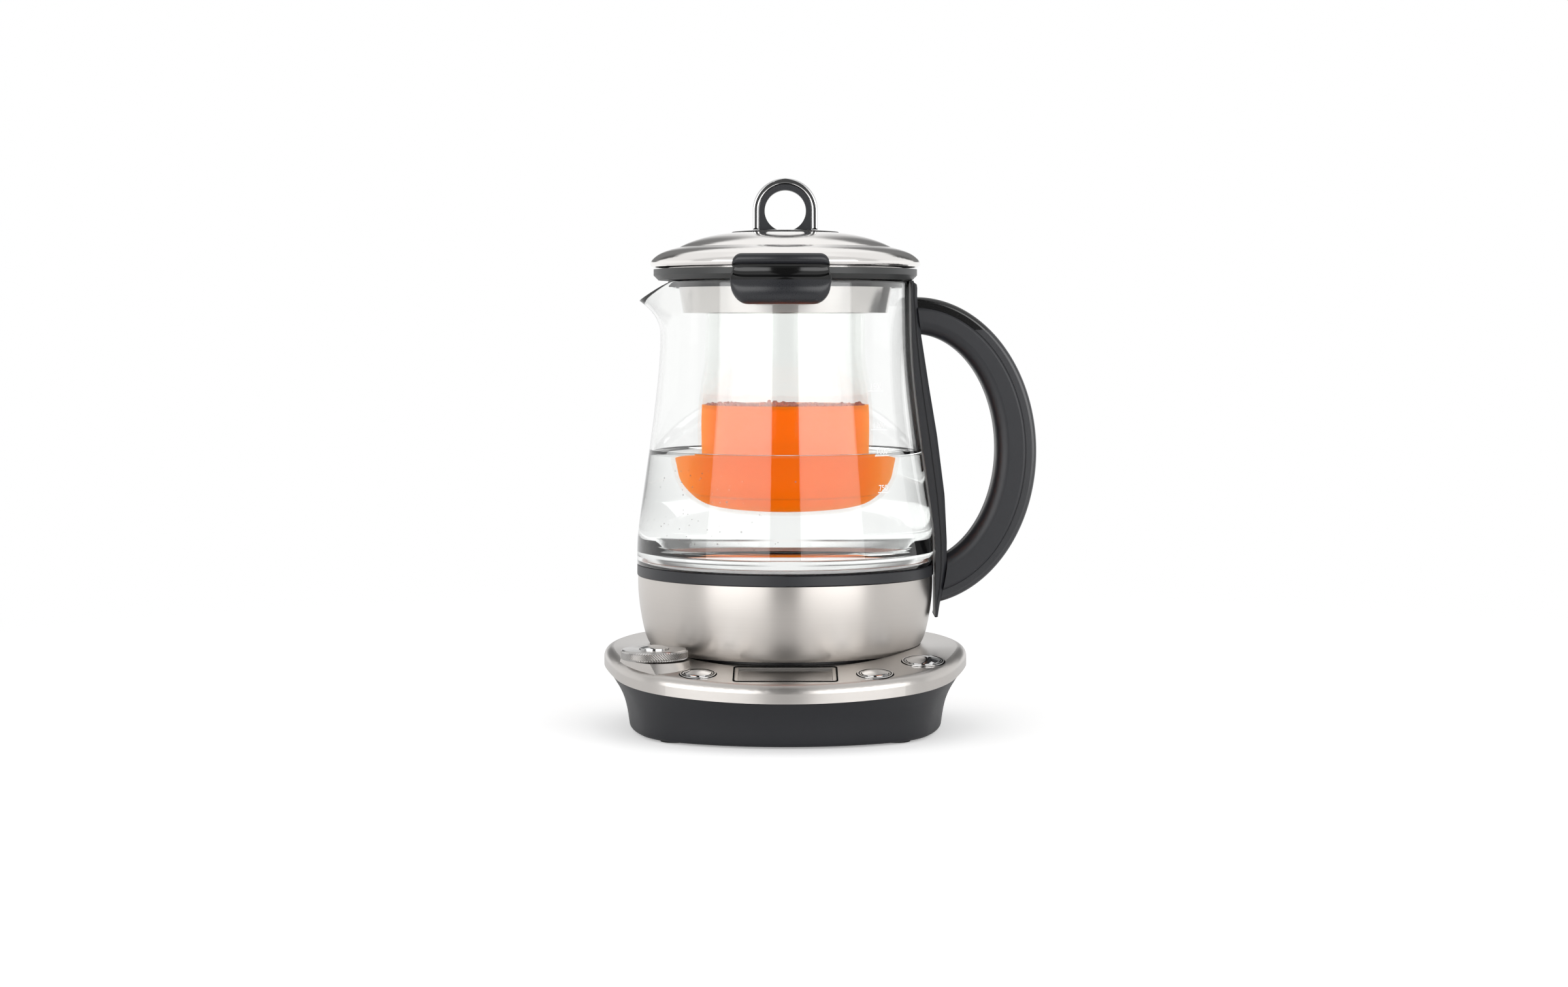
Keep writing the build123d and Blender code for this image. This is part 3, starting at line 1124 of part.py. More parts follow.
def insert_grip(facing):
    """Grooved grip on the insert's rim; facing is the direction it looks, in degrees."""
    outward = (math.cos(math.radians(facing)), math.sin(math.radians(facing)), 0)
    begin = math.radians(facing - GRIP_ARC / 2)
    radial = Plane(origin=JUG.origin, x_dir=(math.cos(begin), math.sin(begin), 0),
                   z_dir=(math.sin(begin), -math.cos(begin), 0))
    with BuildPart(mode=Mode.PRIVATE) as grip:
        with BuildSketch(radial):
            with BuildLine():
                Spline(*((radius, RIM_BOTTOM + rise) for radius, rise in GRIP_OUTLINE), periodic=True)
            make_face()
        revolve(axis=JUG_AXIS, revolution_arc=GRIP_ARC)
        with BuildSketch(Plane(origin=JUG.origin, x_dir=(-outward[1], outward[0], 0), z_dir=outward)):
            with Locations((0, RIM_BOTTOM + (GRIP_LOW + GRIP_HIGH) / 2)):
                RectangleRounded(GRIP_LENGTH, GRIP_HIGH - GRIP_LOW, GRIP_CORNER)
        extrude(amount=FAR, mode=Mode.INTERSECT)
    return grip.part


with BuildPart() as front_grip:
    add(insert_grip(INSERT_TURN + FRONT_FACING))
front_grip.part.label = "front_grip"
export_step(front_grip.part, "parts/front_grip.step")

with BuildPart() as back_grip:
    add(insert_grip(INSERT_TURN + BACK_FACING))
back_grip.part.label = "back_grip"
export_step(back_grip.part, "parts/back_grip.step")

# ------------------------------------------------------------------ lid
LID_CROWN = LID_BOTTOM + LID_DOME[-1][1]
PAD_TOP = LID_CROWN + PAD_RISE
HOOP_RADIUS = KNOB_WIDTH / 2
HOOP_CENTRE = KNOB_TOP - HOOP_RADIUS
LINER_TOP = LID_BOTTOM + LINER_WALL


def lid_points(form):
    """Points of the lid's section at their heights."""
    return [(radius, LID_BOTTOM + rise) for radius, rise in form]


def lid_screw_form(radius, low, high):
    """Pair of upright cylinders at the lid's screws."""
    with BuildPart(mode=Mode.PRIVATE) as form:
        with BuildSketch(JUG.offset(low)):
            with Locations((-LID_SCREW_SPREAD, 0), (LID_SCREW_SPREAD, 0)):
                Circle(radius)
        extrude(amount=high - low)
    return form.part


def hoop_form(half_width, top_radius, depth):
    """Upright arch on the lid's pad."""
    with BuildPart(mode=Mode.PRIVATE) as arch:
        with BuildSketch(UPRIGHT):
            with Locations((0, HOOP_CENTRE)):
                Circle(top_radius)
            section(-half_width, half_width, PAD_TOP, HOOP_CENTRE)
            section(-FAR, FAR, 0, PAD_TOP, mode=Mode.SUBTRACT)
        extrude(amount=depth / 2, both=True)
    return arch.part


with BuildPart() as lid_dome:
    with BuildSketch(UPRIGHT):
        with BuildLine():
            edge = Spline(*lid_points(LID_TORUS))
            crown = Spline(*lid_points(LID_DOME), tangents=((-1, 0.55), (-1, 0)))
            edge_in = Spline(*drawn_in(edge, LID_SHEET))
            crown_in = Spline(*drawn_in(crown, LID_SHEET))
            Line(edge @ 0, edge_in @ 0)
            Line(edge @ 1, crown @ 0)
            Line(edge_in @ 1, crown_in @ 0)
            Line(crown @ 1, crown_in @ 1)
        make_face()
    revolve(axis=JUG_AXIS)
    add(lid_screw_form(LID_SCREW + SCREW_FIT, LID_SCREW_BOTTOM, LID_SCREW_TOP), mode=Mode.SUBTRACT)
lid_dome.part.label = "lid_dome"
export_step(lid_dome.part, "parts/lid_dome.step")

with BuildPart() as lid_pad:
    with BuildSketch(UPRIGHT):
        with BuildLine():
            crown = Spline(*lid_points(LID_DOME), tangents=((-1, 0.55), (-1, 0)))
            Polyline(crown @ 1, (0, PAD_TOP), ((crown @ 0).X, PAD_TOP), crown @ 0)
        make_face()
        section(PAD_RADIUS, FAR, 0, 2 * FAR, mode=Mode.SUBTRACT)
    revolve(axis=JUG_AXIS)
    add(lid_screw_form(LID_SCREW + SCREW_FIT, LID_SCREW_BOTTOM, LID_SCREW_TOP), mode=Mode.SUBTRACT)
lid_pad.part.label = "lid_pad"
export_step(lid_pad.part, "parts/lid_pad.step")

with BuildPart() as lid_liner:
    with BuildSketch(UPRIGHT):
        section(0, LINER_RADIUS, LID_BOTTOM, LINER_TOP)
        section(SPIGOT_OUTER - SPIGOT_WALL, SPIGOT_OUTER, LID_BOTTOM - SPIGOT_DEPTH, LID_BOTTOM)
    revolve(axis=JUG_AXIS)
lid_liner.part.label = "lid_liner"
export_step(lid_liner.part, "parts/lid_liner.step")

with BuildPart() as lid_seal:
    with BuildSketch(UPRIGHT):
        section(SPIGOT_OUTER + SCREW_FIT, LID_SEAL_OUTER, LID_BOTTOM - LID_SEAL_DROP - LID_SEAL_HEIGHT,
                LID_BOTTOM - LID_SEAL_DROP)
    revolve(axis=JUG_AXIS)
lid_seal.part.label = "lid_seal"
export_step(lid_seal.part, "parts/lid_seal.step")

with BuildPart() as knob_hoop:
    add(hoop_form(HOOP_RADIUS, HOOP_RADIUS, HOOP_DEPTH))
    add(hoop_form(HOOP_RADIUS - KNOB_BAR, HOOP_RADIUS - KNOB_BAR, HOOP_DEPTH), mode=Mode.SUBTRACT)
    side = HOOP_DEPTH / 2 - KNOB_FIT
    outer_edges = knob_hoop.edges().filter_by(lambda edge: abs(edge.center().Y - AXIS_Y) > side)
    fillet(outer_edges, HOOP_ROUND)
knob_hoop.part.label = "knob_hoop"
export_step(knob_hoop.part, "parts/knob_hoop.step")

with BuildPart() as knob_core:
    add(hoop_form(HOOP_RADIUS - KNOB_BAR - KNOB_FIT, HOOP_RADIUS - KNOB_BAR - KNOB_FIT, CORE_DEPTH))
    with BuildSketch(UPRIGHT):
        with Locations((0, HOOP_CENTRE)):
            Circle(KNOB_HOLE)
    extrude(amount=CORE_DEPTH, both=True, mode=Mode.SUBTRACT)
    add(lid_screw_form(LID_SCREW + SCREW_FIT, LID_SCREW_BOTTOM, LID_SCREW_TOP), mode=Mode.SUBTRACT)
knob_core.part.label = "knob_core"
export_step(knob_core.part, "parts/knob_core.step")

with BuildPart() as lid_screws:
    add(lid_screw_form(LID_SCREW_HEAD, LID_SCREW_BOTTOM, LID_SCREW_BOTTOM + LID_SCREW_HEAD_WALL))
    add(lid_screw_form(LID_SCREW, LID_SCREW_BOTTOM, LID_SCREW_TOP - SCREW_RESERVE))
lid_screws.part.label = "lid_screws"
export_step(lid_screws.part, "parts/lid_screws.step")
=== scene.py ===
"""Looks of an automatic tea maker: base with control panel, glass jug, hanging insert and domed lid."""

import logging
import math
import random
from collections.abc import Iterable, Sequence
from dataclasses import dataclass, replace
from enum import Enum
from functools import cache

import bmesh
import bpy
from mathutils import Matrix, Vector


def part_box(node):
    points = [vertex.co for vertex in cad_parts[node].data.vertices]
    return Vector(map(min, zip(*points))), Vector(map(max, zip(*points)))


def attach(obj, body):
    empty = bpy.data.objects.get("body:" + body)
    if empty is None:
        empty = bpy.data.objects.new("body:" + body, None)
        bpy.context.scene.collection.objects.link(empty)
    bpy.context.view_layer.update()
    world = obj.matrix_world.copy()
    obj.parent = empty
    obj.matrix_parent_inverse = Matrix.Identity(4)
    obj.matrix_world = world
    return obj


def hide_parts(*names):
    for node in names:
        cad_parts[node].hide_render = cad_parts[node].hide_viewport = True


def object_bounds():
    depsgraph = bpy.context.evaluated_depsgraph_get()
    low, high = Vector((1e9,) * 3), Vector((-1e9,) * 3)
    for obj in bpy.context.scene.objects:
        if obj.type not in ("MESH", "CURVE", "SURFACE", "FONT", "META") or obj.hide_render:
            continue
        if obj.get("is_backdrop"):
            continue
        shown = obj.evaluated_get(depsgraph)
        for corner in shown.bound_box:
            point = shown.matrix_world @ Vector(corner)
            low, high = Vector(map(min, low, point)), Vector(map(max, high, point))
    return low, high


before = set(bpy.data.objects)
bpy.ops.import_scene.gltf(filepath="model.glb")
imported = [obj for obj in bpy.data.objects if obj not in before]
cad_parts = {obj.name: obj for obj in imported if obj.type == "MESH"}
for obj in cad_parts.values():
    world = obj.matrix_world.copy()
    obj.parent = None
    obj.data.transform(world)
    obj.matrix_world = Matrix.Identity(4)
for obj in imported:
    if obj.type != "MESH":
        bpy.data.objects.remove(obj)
CAD_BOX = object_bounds()

MM = 0.001
WATER_LEVEL = 147.6
TEA_LEVEL = 172.2
GLASS_TINT = (0.985, 0.99, 0.985)
WHITE = (1.0, 1.0, 1.0, 1.0)
WELD = 0.001 * MM
SLIVER = 0.02 * MM
LOG = logging.getLogger("tea_maker")

Colour = tuple[float, float, float]
Profile = Sequence[tuple[float, float]]


def node_centre(name: str) -> Vector:
    """Returns the middle of a CAD node's box, in metres."""
    low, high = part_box(name)
    return (low + high) / 2


JUG_AXIS = node_centre("heating_plate")
DIAL_AXIS = node_centre("dial_knob")
TO_JUG_AXIS = Vector((JUG_AXIS.x, JUG_AXIS.y, 0))


def grey(level: float, warmth: float = 0.0) -> Colour:
    """A grey from its screen value.

    Args:
        level: screen value, 0 to 255.
        warmth: how far red is raised and blue lowered, in screen values.

    Returns:
        The colour in linear light.
    """
    return screen(level + warmth, level, level - warmth)


def screen(red: float, green: float, blue: float) -> Colour:
    """A colour from its screen values.

    Args:
        red: red, 0 to 255.
        green: green, 0 to 255.
        blue: blue, 0 to 255.

    Returns:
        The colour in linear light.
    """

    def linear(value: float) -> float:
        """One channel in linear light."""
        share = value / 255
        return share / 12.92 if share <= 0.04045 else ((share + 0.055) / 1.055) ** 2.4

    return linear(red), linear(green), linear(blue)


def opaque(colour: Colour) -> tuple[float, float, float, float]:
    """The colour with an alpha of one."""
    return (*colour, 1.0)


# ---------------------------------------------------------------- shader nodes


@dataclass(frozen=True)
class Number:
    """A number in a node tree. Python's operators on it add Math nodes."""

    tree: "Tree"
    socket: bpy.types.NodeSocket

    def maths(self, operation: str, *values: "Number | float") -> "Number":
        """Adds one Math node.

        Args:
            operation: Blender's name of the operation.
            values: its inputs, in order.

        Returns:
            The node's result.
        """
        node = self.tree.add("ShaderNodeMath", {"operation": operation}, dict(enumerate(values)))
        return Number(self.tree, node.outputs[0])

    def __add__(self, other: "Number | float") -> "Number":
        """self + other"""
        return self.maths("ADD", self, other)

    def __radd__(self, other: float) -> "Number":
        """other + self"""
        return self.maths("ADD", other, self)

    def __sub__(self, other: "Number | float") -> "Number":
        """self - other"""
        return self.maths("SUBTRACT", self, other)

    def __rsub__(self, other: float) -> "Number":
        """other - self"""
        return self.maths("SUBTRACT", other, self)

    def __mul__(self, other: "Number | float") -> "Number":
        """self * other"""
        return self.maths("MULTIPLY", self, other)

    def __rmul__(self, other: float) -> "Number":
        """other * self"""
        return self.maths("MULTIPLY", other, self)

    def __truediv__(self, other: "Number | float") -> "Number":
        """self / other"""
        return self.maths("DIVIDE", self, other)

    def __pow__(self, power: "Number | float") -> "Number":
        """self ** power"""
        return self.maths("POWER", self, power)

    def __abs__(self) -> "Number":
        """abs(self)"""
        return self.maths("ABSOLUTE", self)

    def step(self, low: float, high: float) -> "Number":
        """A smooth step.

        Args:
            low: where the step starts.
            high: where it has reached one.

        Returns:
            0 below low, 1 above high.
        """
        node = self.tree.add(
            "ShaderNodeMapRange",
            {"interpolation_type": "SMOOTHSTEP"},
            {"Value": self, "From Min": low, "From Max": high},
        )
        return Number(self.tree, node.outputs["Result"])

    def between(self, low: float, high: float, soft: float) -> "Number":
        """One from low to high, with soft edges.

        Args:
            low: lower edge.
            high: upper edge.
            soft: width of each edge.

        Returns:
            The mask.
        """
        return self.step(low - soft, low) * (1 - self.step(high, high + soft))


class Tree:
    """A node tree and the one way in which nodes are added to it."""

    def __init__(self, nodes: bpy.types.NodeTree) -> None:
        """Empties the tree.

        Args:
            nodes: Blender's node tree.
        """
        self.nodes = nodes
        nodes.nodes.clear()

    def add(
        self,
        kind: str,
        settings: dict[str, object] | None = None,
        inputs: dict[str | int, object] | None = None,
    ) -> bpy.types.Node:
        """Adds a node.

        Args:
            kind: Blender's name of the node's type.
            settings: what is set on the node first.
            inputs: a value, a Number or a socket for each named or numbered input.

        Returns:
            The node.
        """
        node = self.nodes.nodes.new(kind)
        for name, value in (settings or {}).items():
            setattr(node, name, value)
        for name, value in (inputs or {}).items():
            target = node.inputs[name]
            if isinstance(value, Number):
                self.nodes.links.new(value.socket, target)
            elif isinstance(value, bpy.types.NodeSocket):
                self.nodes.links.new(value, target)
            else:
                target.default_value = value
        return node

    def number(self, socket: bpy.types.NodeSocket) -> Number:
        """The socket as a Number."""
        return Number(self, socket)

    def place(self, centre: Vector = Vector()) -> tuple[Number, Number, Number]:
        """The point that is shaded.

        Args:
            centre: the point that counts as zero.

        Returns:
            Its x, y and z in metres.
        """
        where = self.add("ShaderNodeTexCoord").outputs["Object"]
        moved = self.add("ShaderNodeVectorMath", {"operation": "SUBTRACT"}, {0: where, 1: tuple(centre)})
        parts = self.add("ShaderNodeSeparateXYZ", inputs={0: moved.outputs[0]})
        return tuple(self.number(parts.outputs[k]) for k in range(3))

    def azimuth(self, x: Number, y: Number) -> Number:
        """Degrees from straight in front, the same on both sides."""
        return x.maths("ARCTAN2", abs(x), y * -1) * (180 / math.pi)

    def vector(self, x: Number | float, y: Number | float, z: Number | float) -> bpy.types.NodeSocket:
        """A vector of three numbers."""
        return self.add("ShaderNodeCombineXYZ", inputs={0: x, 1: y, 2: z}).outputs[0]

    def noise(self, where: bpy.types.NodeSocket, detail: float = 2.0, rough: float = 0.5) -> Number:
        """Soft noise, around one half.

        Args:
            where: coordinates, already at the noise's scale.
            detail: number of finer layers.
            rough: how strong the finer layers are.

        Returns:
            The noise.
        """
        node = self.add(
            "ShaderNodeTexNoise", inputs={"Vector": where, "Scale": 1.0, "Detail": detail, "Roughness": rough}
        )
        return self.number(node.outputs[0])

    def shade(self, colour: Colour, factor: Number) -> bpy.types.NodeSocket:
        """A colour made lighter or darker.

        Args:
            colour: the colour where the factor is one.
            factor: what it is multiplied by.

        Returns:
            The colour's socket.
        """
        node = self.add("ShaderNodeVectorMath", {"operation": "SCALE"}, {0: colour, "Scale": factor})
        return node.outputs[0]

    def mix(
        self, share: Number, first: Colour | bpy.types.NodeSocket, second: Colour | bpy.types.NodeSocket
    ) -> bpy.types.NodeSocket:
        """A mix of two colours.

        Args:
            share: share of the second.
            first: colour where the share is zero.
            second: colour where the share is one.

        Returns:
            The colour's socket.
        """
        a, b = (opaque(c) if isinstance(c, tuple) else c for c in (first, second))
        node = self.add("ShaderNodeMix", {"data_type": "RGBA"}, {0: share, 6: a, 7: b})
        return node.outputs[2]

    def bump(self, height: Number, metres: float, strength: float = 1.0) -> bpy.types.NodeSocket:
        """A normal that follows a height.

        Args:
            height: the height, 0 to 1.
            metres: how high one is.
            strength: share of the effect.

        Returns:
            The normal's socket.
        """
        node = self.add("ShaderNodeBump", inputs={"Height": height, "Distance": metres, "Strength": strength})
        return node.outputs[0]


# -------------------------------------------------------------------- finishes


class Brush(Enum):
    """How the fine lines of brushed metal run."""

    ROUND = "round an upright axis"
    ALONG = "from left to right"


@dataclass(frozen=True)
class Finish:
    """A finish: one material with a name."""

    name: str

    @cache
    def material(self) -> bpy.types.Material:
        """Returns this finish's material, made the first time that it is asked for."""
        made = bpy.data.materials.new(self.name)
        made.use_nodes = True
        tree = Tree(made.node_tree)
        links = {"Surface": self.surface(tree)}
        depth = self.depth(tree)
        if depth is not None:
            links["Volume"] = depth
        tree.add("ShaderNodeOutputMaterial", inputs=links)
        return made

    def sockets(self, tree: Tree) -> dict[str | int, object]:
        """What goes into the shader's sockets.

        Args:
            tree: the material's tree.

        Returns:
            A value or a link for each socket's name.
        """
        raise NotImplementedError

    def surface(self, tree: Tree) -> bpy.types.NodeSocket:
        """The shader of the surface."""
        return tree.add("ShaderNodeBsdfPrincipled", inputs=self.sockets(tree)).outputs[0]

    def depth(self, tree: Tree) -> bpy.types.NodeSocket | None:
        """The shader of the inside, where there is one."""
        return None


@dataclass(frozen=True)
class BrushedMetal(Finish):
    """Metal with fine parallel lines."""

    colour: Colour
    brush: Brush = Brush.ROUND
    centre: tuple[float, float, float] = (0.0, 0.0, 0.0)
    roughness: float = 0.3
    spread: float = 0.7
    line: float = 0.3 * MM
    depth_of_line: float = 0.0015 * MM
    contrast: float = 0.05

    def sockets(self, tree: Tree) -> dict[str | int, object]:
        """Colour, roughness and bump that follow the lines.

        Args:
            tree: the material's tree.

        Returns:
            The shader's inputs.
        """
        x, y, z = tree.place(Vector(self.centre))
        fine, slow = 1 / self.line, 9.0
        if self.brush is Brush.ROUND:
            reach = (x * x + y * y) ** 0.5
            across = tree.vector(reach * fine, z * fine, x * slow + y * slow * 1.7)
            wide = tree.vector(reach * fine * 0.22, z * fine * 0.22, x * slow * 0.6 - y * slow)
        else:
            across = tree.vector(x * slow, y * fine, z * fine)
            wide = tree.vector(x * slow * 0.6, y * fine * 0.22, z * fine * 0.22)
        lines = tree.noise(across, 3.0, 0.7)
        bands = tree.noise(wide, 1.0)
        cloud = tree.noise(tree.vector(x * 38, y * 38, z * 38), 2.0)
        uneven = (lines - 0.5) * 1.2 + (bands - 0.5) * 0.8
        return {
            "Base Color": tree.shade(self.colour, 1 + uneven * self.contrast + (cloud - 0.5) * 0.04),
            "Metallic": 1.0,
            "Roughness": self.roughness + uneven * 0.06 + (cloud - 0.5) * 0.02,
            "Anisotropic": self.spread,
            "Anisotropic Rotation": 0.25,
            "Normal": tree.bump(lines, self.depth_of_line),
        }


@dataclass(frozen=True)
class Chrome(Finish):
    """Bright polished or plated metal, with faint wipe marks."""

    colour: Colour
    roughness: float = 0.05

    def sockets(self, tree: Tree) -> dict[str | int, object]:
        """Polish that is a little duller where it was wiped.

        Args:
            tree: the material's tree.

        Returns:
            The shader's inputs.
        """
        x, y, z = tree.place()
        wipes = tree.noise(tree.vector(x * 60, y * 160, z * 90), 4.0, 0.65)
        return {
            "Base Color": tree.shade(self.colour, 0.97 + (wipes - 0.5) * 0.08),
            "Metallic": 1.0,
            "Roughness": self.roughness + wipes.step(0.45, 0.75) * 0.05,
            "Normal": tree.bump(wipes, 0.01 * MM, 0.3),
        }


@dataclass(frozen=True)
class Moulded(Finish):
    """Moulded plastic or rubber with a fine grain."""

    colour: Colour
    roughness: float = 0.45
    grain: float = 0.45 * MM
    grain_height: float = 0.02 * MM
    gloss_from: float = 0.0
    gloss_to: float = 0.0
    coat: float = 0.0
    shine: float = 0.5

    def sockets(self, tree: Tree) -> dict[str | int, object]:
        """Grain, faint clouds, and a glossy band where one is given.

        Args:
            tree: the material's tree.

        Returns:
            The shader's inputs.
        """
        x, y, z = tree.place()
        fine = tree.noise(tree.vector(x / self.grain, y / self.grain, z / self.grain), 2.0, 0.6)
        cloud = tree.noise(tree.vector(x * 45, y * 45, z * 45), 3.0)
        colour = tree.shade(self.colour, 1 + (fine - 0.5) * 0.3 + (cloud - 0.5) * 0.14)
        rough = self.roughness + (fine - 0.5) * 0.16 + (cloud - 0.5) * 0.08
        relief = fine
        if self.gloss_to > self.gloss_from:
            band = z.between(self.gloss_from, self.gloss_to, 0.5 * MM)
            colour = tree.mix(band, colour, grey(14))
            rough = rough * (1 - band) + band * 0.1
            relief = fine * (1 - band)
        return {
            "Base Color": colour,
            "Roughness": rough,
            "Specular IOR Level": self.shine,
            "Coat Weight": self.coat,
            "Coat Roughness": 0.15,
            "Normal": tree.bump(relief, self.grain_height),
        }


@dataclass(frozen=True)
class Clear(Finish):
    """Clear glass or water. A wetted wall mirrors less, so it has a smaller mirror share."""

    tint: Colour
    index: float
    mirror: float = 1.0

    def sockets(self, tree: Tree) -> dict[str | int, object]:
        """A tint that varies a little, and a very faint unevenness.

        Args:
            tree: the material's tree.

        Returns:
            The shader's inputs.
        """
        x, y, z = tree.place()
        swell = tree.noise(tree.vector(x * 22, y * 22, z * 30), 1.0)
        return {
            "Base Color": tree.shade(self.tint, 1 + (swell - 0.5) * 0.02),
            "Transmission Weight": 1.0,
            "Roughness": 0.0,
            "IOR": self.index,
            "Specular Tint": opaque((self.mirror,) * 3),
            "Normal": tree.bump(swell, 0.05 * MM, 0.4),
        }


@dataclass(frozen=True)
class HalfWet(Clear):
    """Glass that stands in water and holds tea: where a liquid touches it, it hardly shows."""

    centre: tuple[float, float, float] = (0.0, 0.0, 0.0)
    water_level: float = WATER_LEVEL * MM
    tea_level: float = TEA_LEVEL * MM
    inside_reach: float = 46.1 * MM
    edge: float = 0.3 * MM
    trace: float = 0.12

    def surface(self, tree: Tree) -> bpy.types.NodeSocket:
        """Dry glass above the liquids, and a trace of it below.

        Args:
            tree: the material's tree.

        Returns:
            The shader's socket.
        """
        x, y, z = tree.place(Vector(self.centre))
        reach = (x * x + y * y) ** 0.5
        outer_wall = reach.step(self.inside_reach, self.inside_reach + self.edge)
        dry_outside = z.step(self.water_level - self.edge, self.water_level)
        dry_inside = 1 - (1 - z.step(self.tea_level - self.edge, self.tea_level)) * (1 - outer_wall)
        wet = (1 - dry_outside * dry_inside) * (1 - self.trace)
        through = tree.add("ShaderNodeBsdfTransparent", inputs={"Color": opaque(self.tint)}).outputs[0]
        shaders = {0: wet, 1: super().surface(tree), 2: through}
        return tree.add("ShaderNodeMixShader", inputs=shaders).outputs[0]


@dataclass(frozen=True)
class Tea(Finish):
    """Orange tea, cloudy, that deepens with its thickness; painted glow, painted shade above the water line.
    """

    haze: Colour
    # upper is a darker copy of the haze: painted shade on the tea above the water line.
    upper: Colour
    # The three glow colours are painted light: emission that stands in for light passing through the tea.
    glow: Colour
    painted_side_glow: Colour
    painted_upper_glow: Colour
    through: Colour
    density: float
    centre: tuple[float, float, float]
    cloudiness: float = 0.62
    water_level: float = WATER_LEVEL * MM
    level: float = TEA_LEVEL * MM
    froth_depth: float = 5.2 * MM
    froth_grain: float = 1.6 * MM
    reach: float = 45 * MM

    def sockets(self, tree: Tree) -> dict[str | int, object]:
        """Drifting haze, froth that hangs lower in front and behind than at the sides, painted glow and
        shade.

        Args:
            tree: the material's tree.

        Returns:
            The shader's inputs.
        """
        x, y, z = tree.place(Vector(self.centre))
        drift = tree.noise(tree.vector(x * 30, y * 30, z * 14), 2.0)
        grain = tree.noise(tree.vector(x * 520, y * 520, z * 520), 3.0, 0.7)
        hang = 1 - x * x * (1 / self.reach**2)
        low = z + hang * self.froth_depth + (grain - 0.5) * self.froth_grain
        froth = low.step(self.level - 0.5 * MM, self.level + 0.3 * MM)
        above = z.step(self.water_level - 0.2 * MM, self.water_level + 0.2 * MM)
        edge = (1 - hang).step(0.45, 1.0)
        # Painted shade: above the water line the tea takes the darker upper colour.
        body = tree.mix(above, self.haze, self.upper)
        skins = grain.step(0.42, 0.6)
        foam = tree.mix(skins, screen(176, 74, 40), screen(226, 142, 112))
        # Painted light: the tea and its froth glow from within, brighter at the sides where the soft boxes
        # shine through.
        painted_foam_glow = tree.mix(skins, (0.08, 0.005, 0.0), (0.3, 0.05, 0.015))
        inside = tree.mix(edge, self.glow, self.painted_side_glow)
        return {
            "Base Color": tree.mix(froth, tree.shade(body, 0.97 + (drift - 0.5) * 0.16), foam),
            "Roughness": 0.3 + froth * 0.2,
            "Alpha": self.cloudiness * (0.9 + drift * 0.2) + froth * 0.3,
            "Emission Color": tree.mix(froth, tree.mix(above, inside, self.painted_upper_glow), painted_foam_glow),
            "Emission Strength": 1.0,
            "Specular IOR Level": 0.0,
            "Coat Weight": above * (1 - froth * 0.5),
            "Coat IOR": 2.4,
            "Coat Roughness": 0.03,
        }

    def depth(self, tree: Tree) -> bpy.types.NodeSocket:
        """The colour that light takes on inside the tea."""
        inside = {"Color": opaque(self.through), "Density": self.density}
        return tree.add("ShaderNodeVolumeAbsorption", inputs=inside).outputs[0]


@dataclass(frozen=True)
class Bubbles(Finish):
    """Thin bubble skins, seen through."""

    colour: Colour
    cover: float

    def sockets(self, tree: Tree) -> dict[str | int, object]:
        """Skins that are denser in places.

        Args:
            tree: the material's tree.

        Returns:
            The shader's inputs.
        """
        x, y, z = tree.place()
        patch = tree.noise(tree.vector(x * 900, y * 900, z * 900), 1.0)
        return {
            "Base Color": tree.shade(self.colour, 0.9 + patch * 0.2),
            "Roughness": 0.08 + patch * 0.1,
            "Alpha": self.cover * (0.6 + patch * 0.8),
        }


@dataclass(frozen=True)
class Ink(Finish):
    """Printed ink, slightly worn."""

    colour: Colour

    def sockets(self, tree: Tree) -> dict[str | int, object]:
        """Ink with faint pinholes.

        Args:
            tree: the material's tree.

        Returns:
            The shader's inputs.
        """
        x, y, z = tree.place()
        grain = tree.noise(tree.vector(x * 2600, y * 2600, z * 2600), 2.0)
        return {"Base Color": tree.shade(self.colour, 0.9 + grain * 0.2), "Roughness": 0.4 + grain * 0.2}


@dataclass(frozen=True)
class CircuitBoard(Finish):
    """Green board with copper tracks under its lacquer."""

    colour: Colour

    def sockets(self, tree: Tree) -> dict[str | int, object]:
        """Tracks as cells in a lighter green.

        Args:
            tree: the material's tree.

        Returns:
            The shader's inputs.
        """
        x, y, z = tree.place()
        where = tree.vector(x * 260, y * 260, z * 10)
        cells = tree.add("ShaderNodeTexVoronoi", {"distance": "CHEBYCHEV"}, {"Vector": where, "Scale": 1.0})
        track = tree.number(cells.outputs["Distance"]).between(0.3, 0.42, 0.03)
        return {
            "Base Color": tree.mix(track, self.colour, tuple(c * 2.2 for c in self.colour)),
            "Roughness": 0.35 - track * 0.1,
            "Normal": tree.bump(track, 0.04 * MM),
        }


JUG_STEEL = BrushedMetal("look_jug_steel", grey(206, 5), centre=tuple(JUG_AXIS), roughness=0.36, spread=0.8)
COLLAR_STEEL = replace(
    JUG_STEEL, name="collar_steel", colour=grey(214, 3), roughness=0.22, spread=0.6, contrast=0.03
)
LID_STEEL = replace(
    COLLAR_STEEL,
    name="lid_steel",
    colour=grey(240, 3),
    roughness=0.12,
    spread=0.5,
    line=0.35 * MM,
    depth_of_line=0.003 * MM,
)
PLATE_STEEL = replace(
    JUG_STEEL, name="heating_plate_steel", colour=grey(206, 6), roughness=0.32, spread=0.4
)
DIAL_STEEL = BrushedMetal("dial_steel", grey(186, 2), centre=tuple(DIAL_AXIS), roughness=0.22, spread=0.6)
KNURL_STEEL = replace(DIAL_STEEL, name="knurl_steel", roughness=0.24, spread=0.0)
PANEL_STEEL = BrushedMetal("panel_steel", grey(198, 4), Brush.ALONG, roughness=0.3, spread=0.6)
SILVER_WINDOW = replace(
    PANEL_STEEL, name="silvered_window", colour=grey(186, 2), roughness=0.2, spread=0.3, contrast=0.02
)
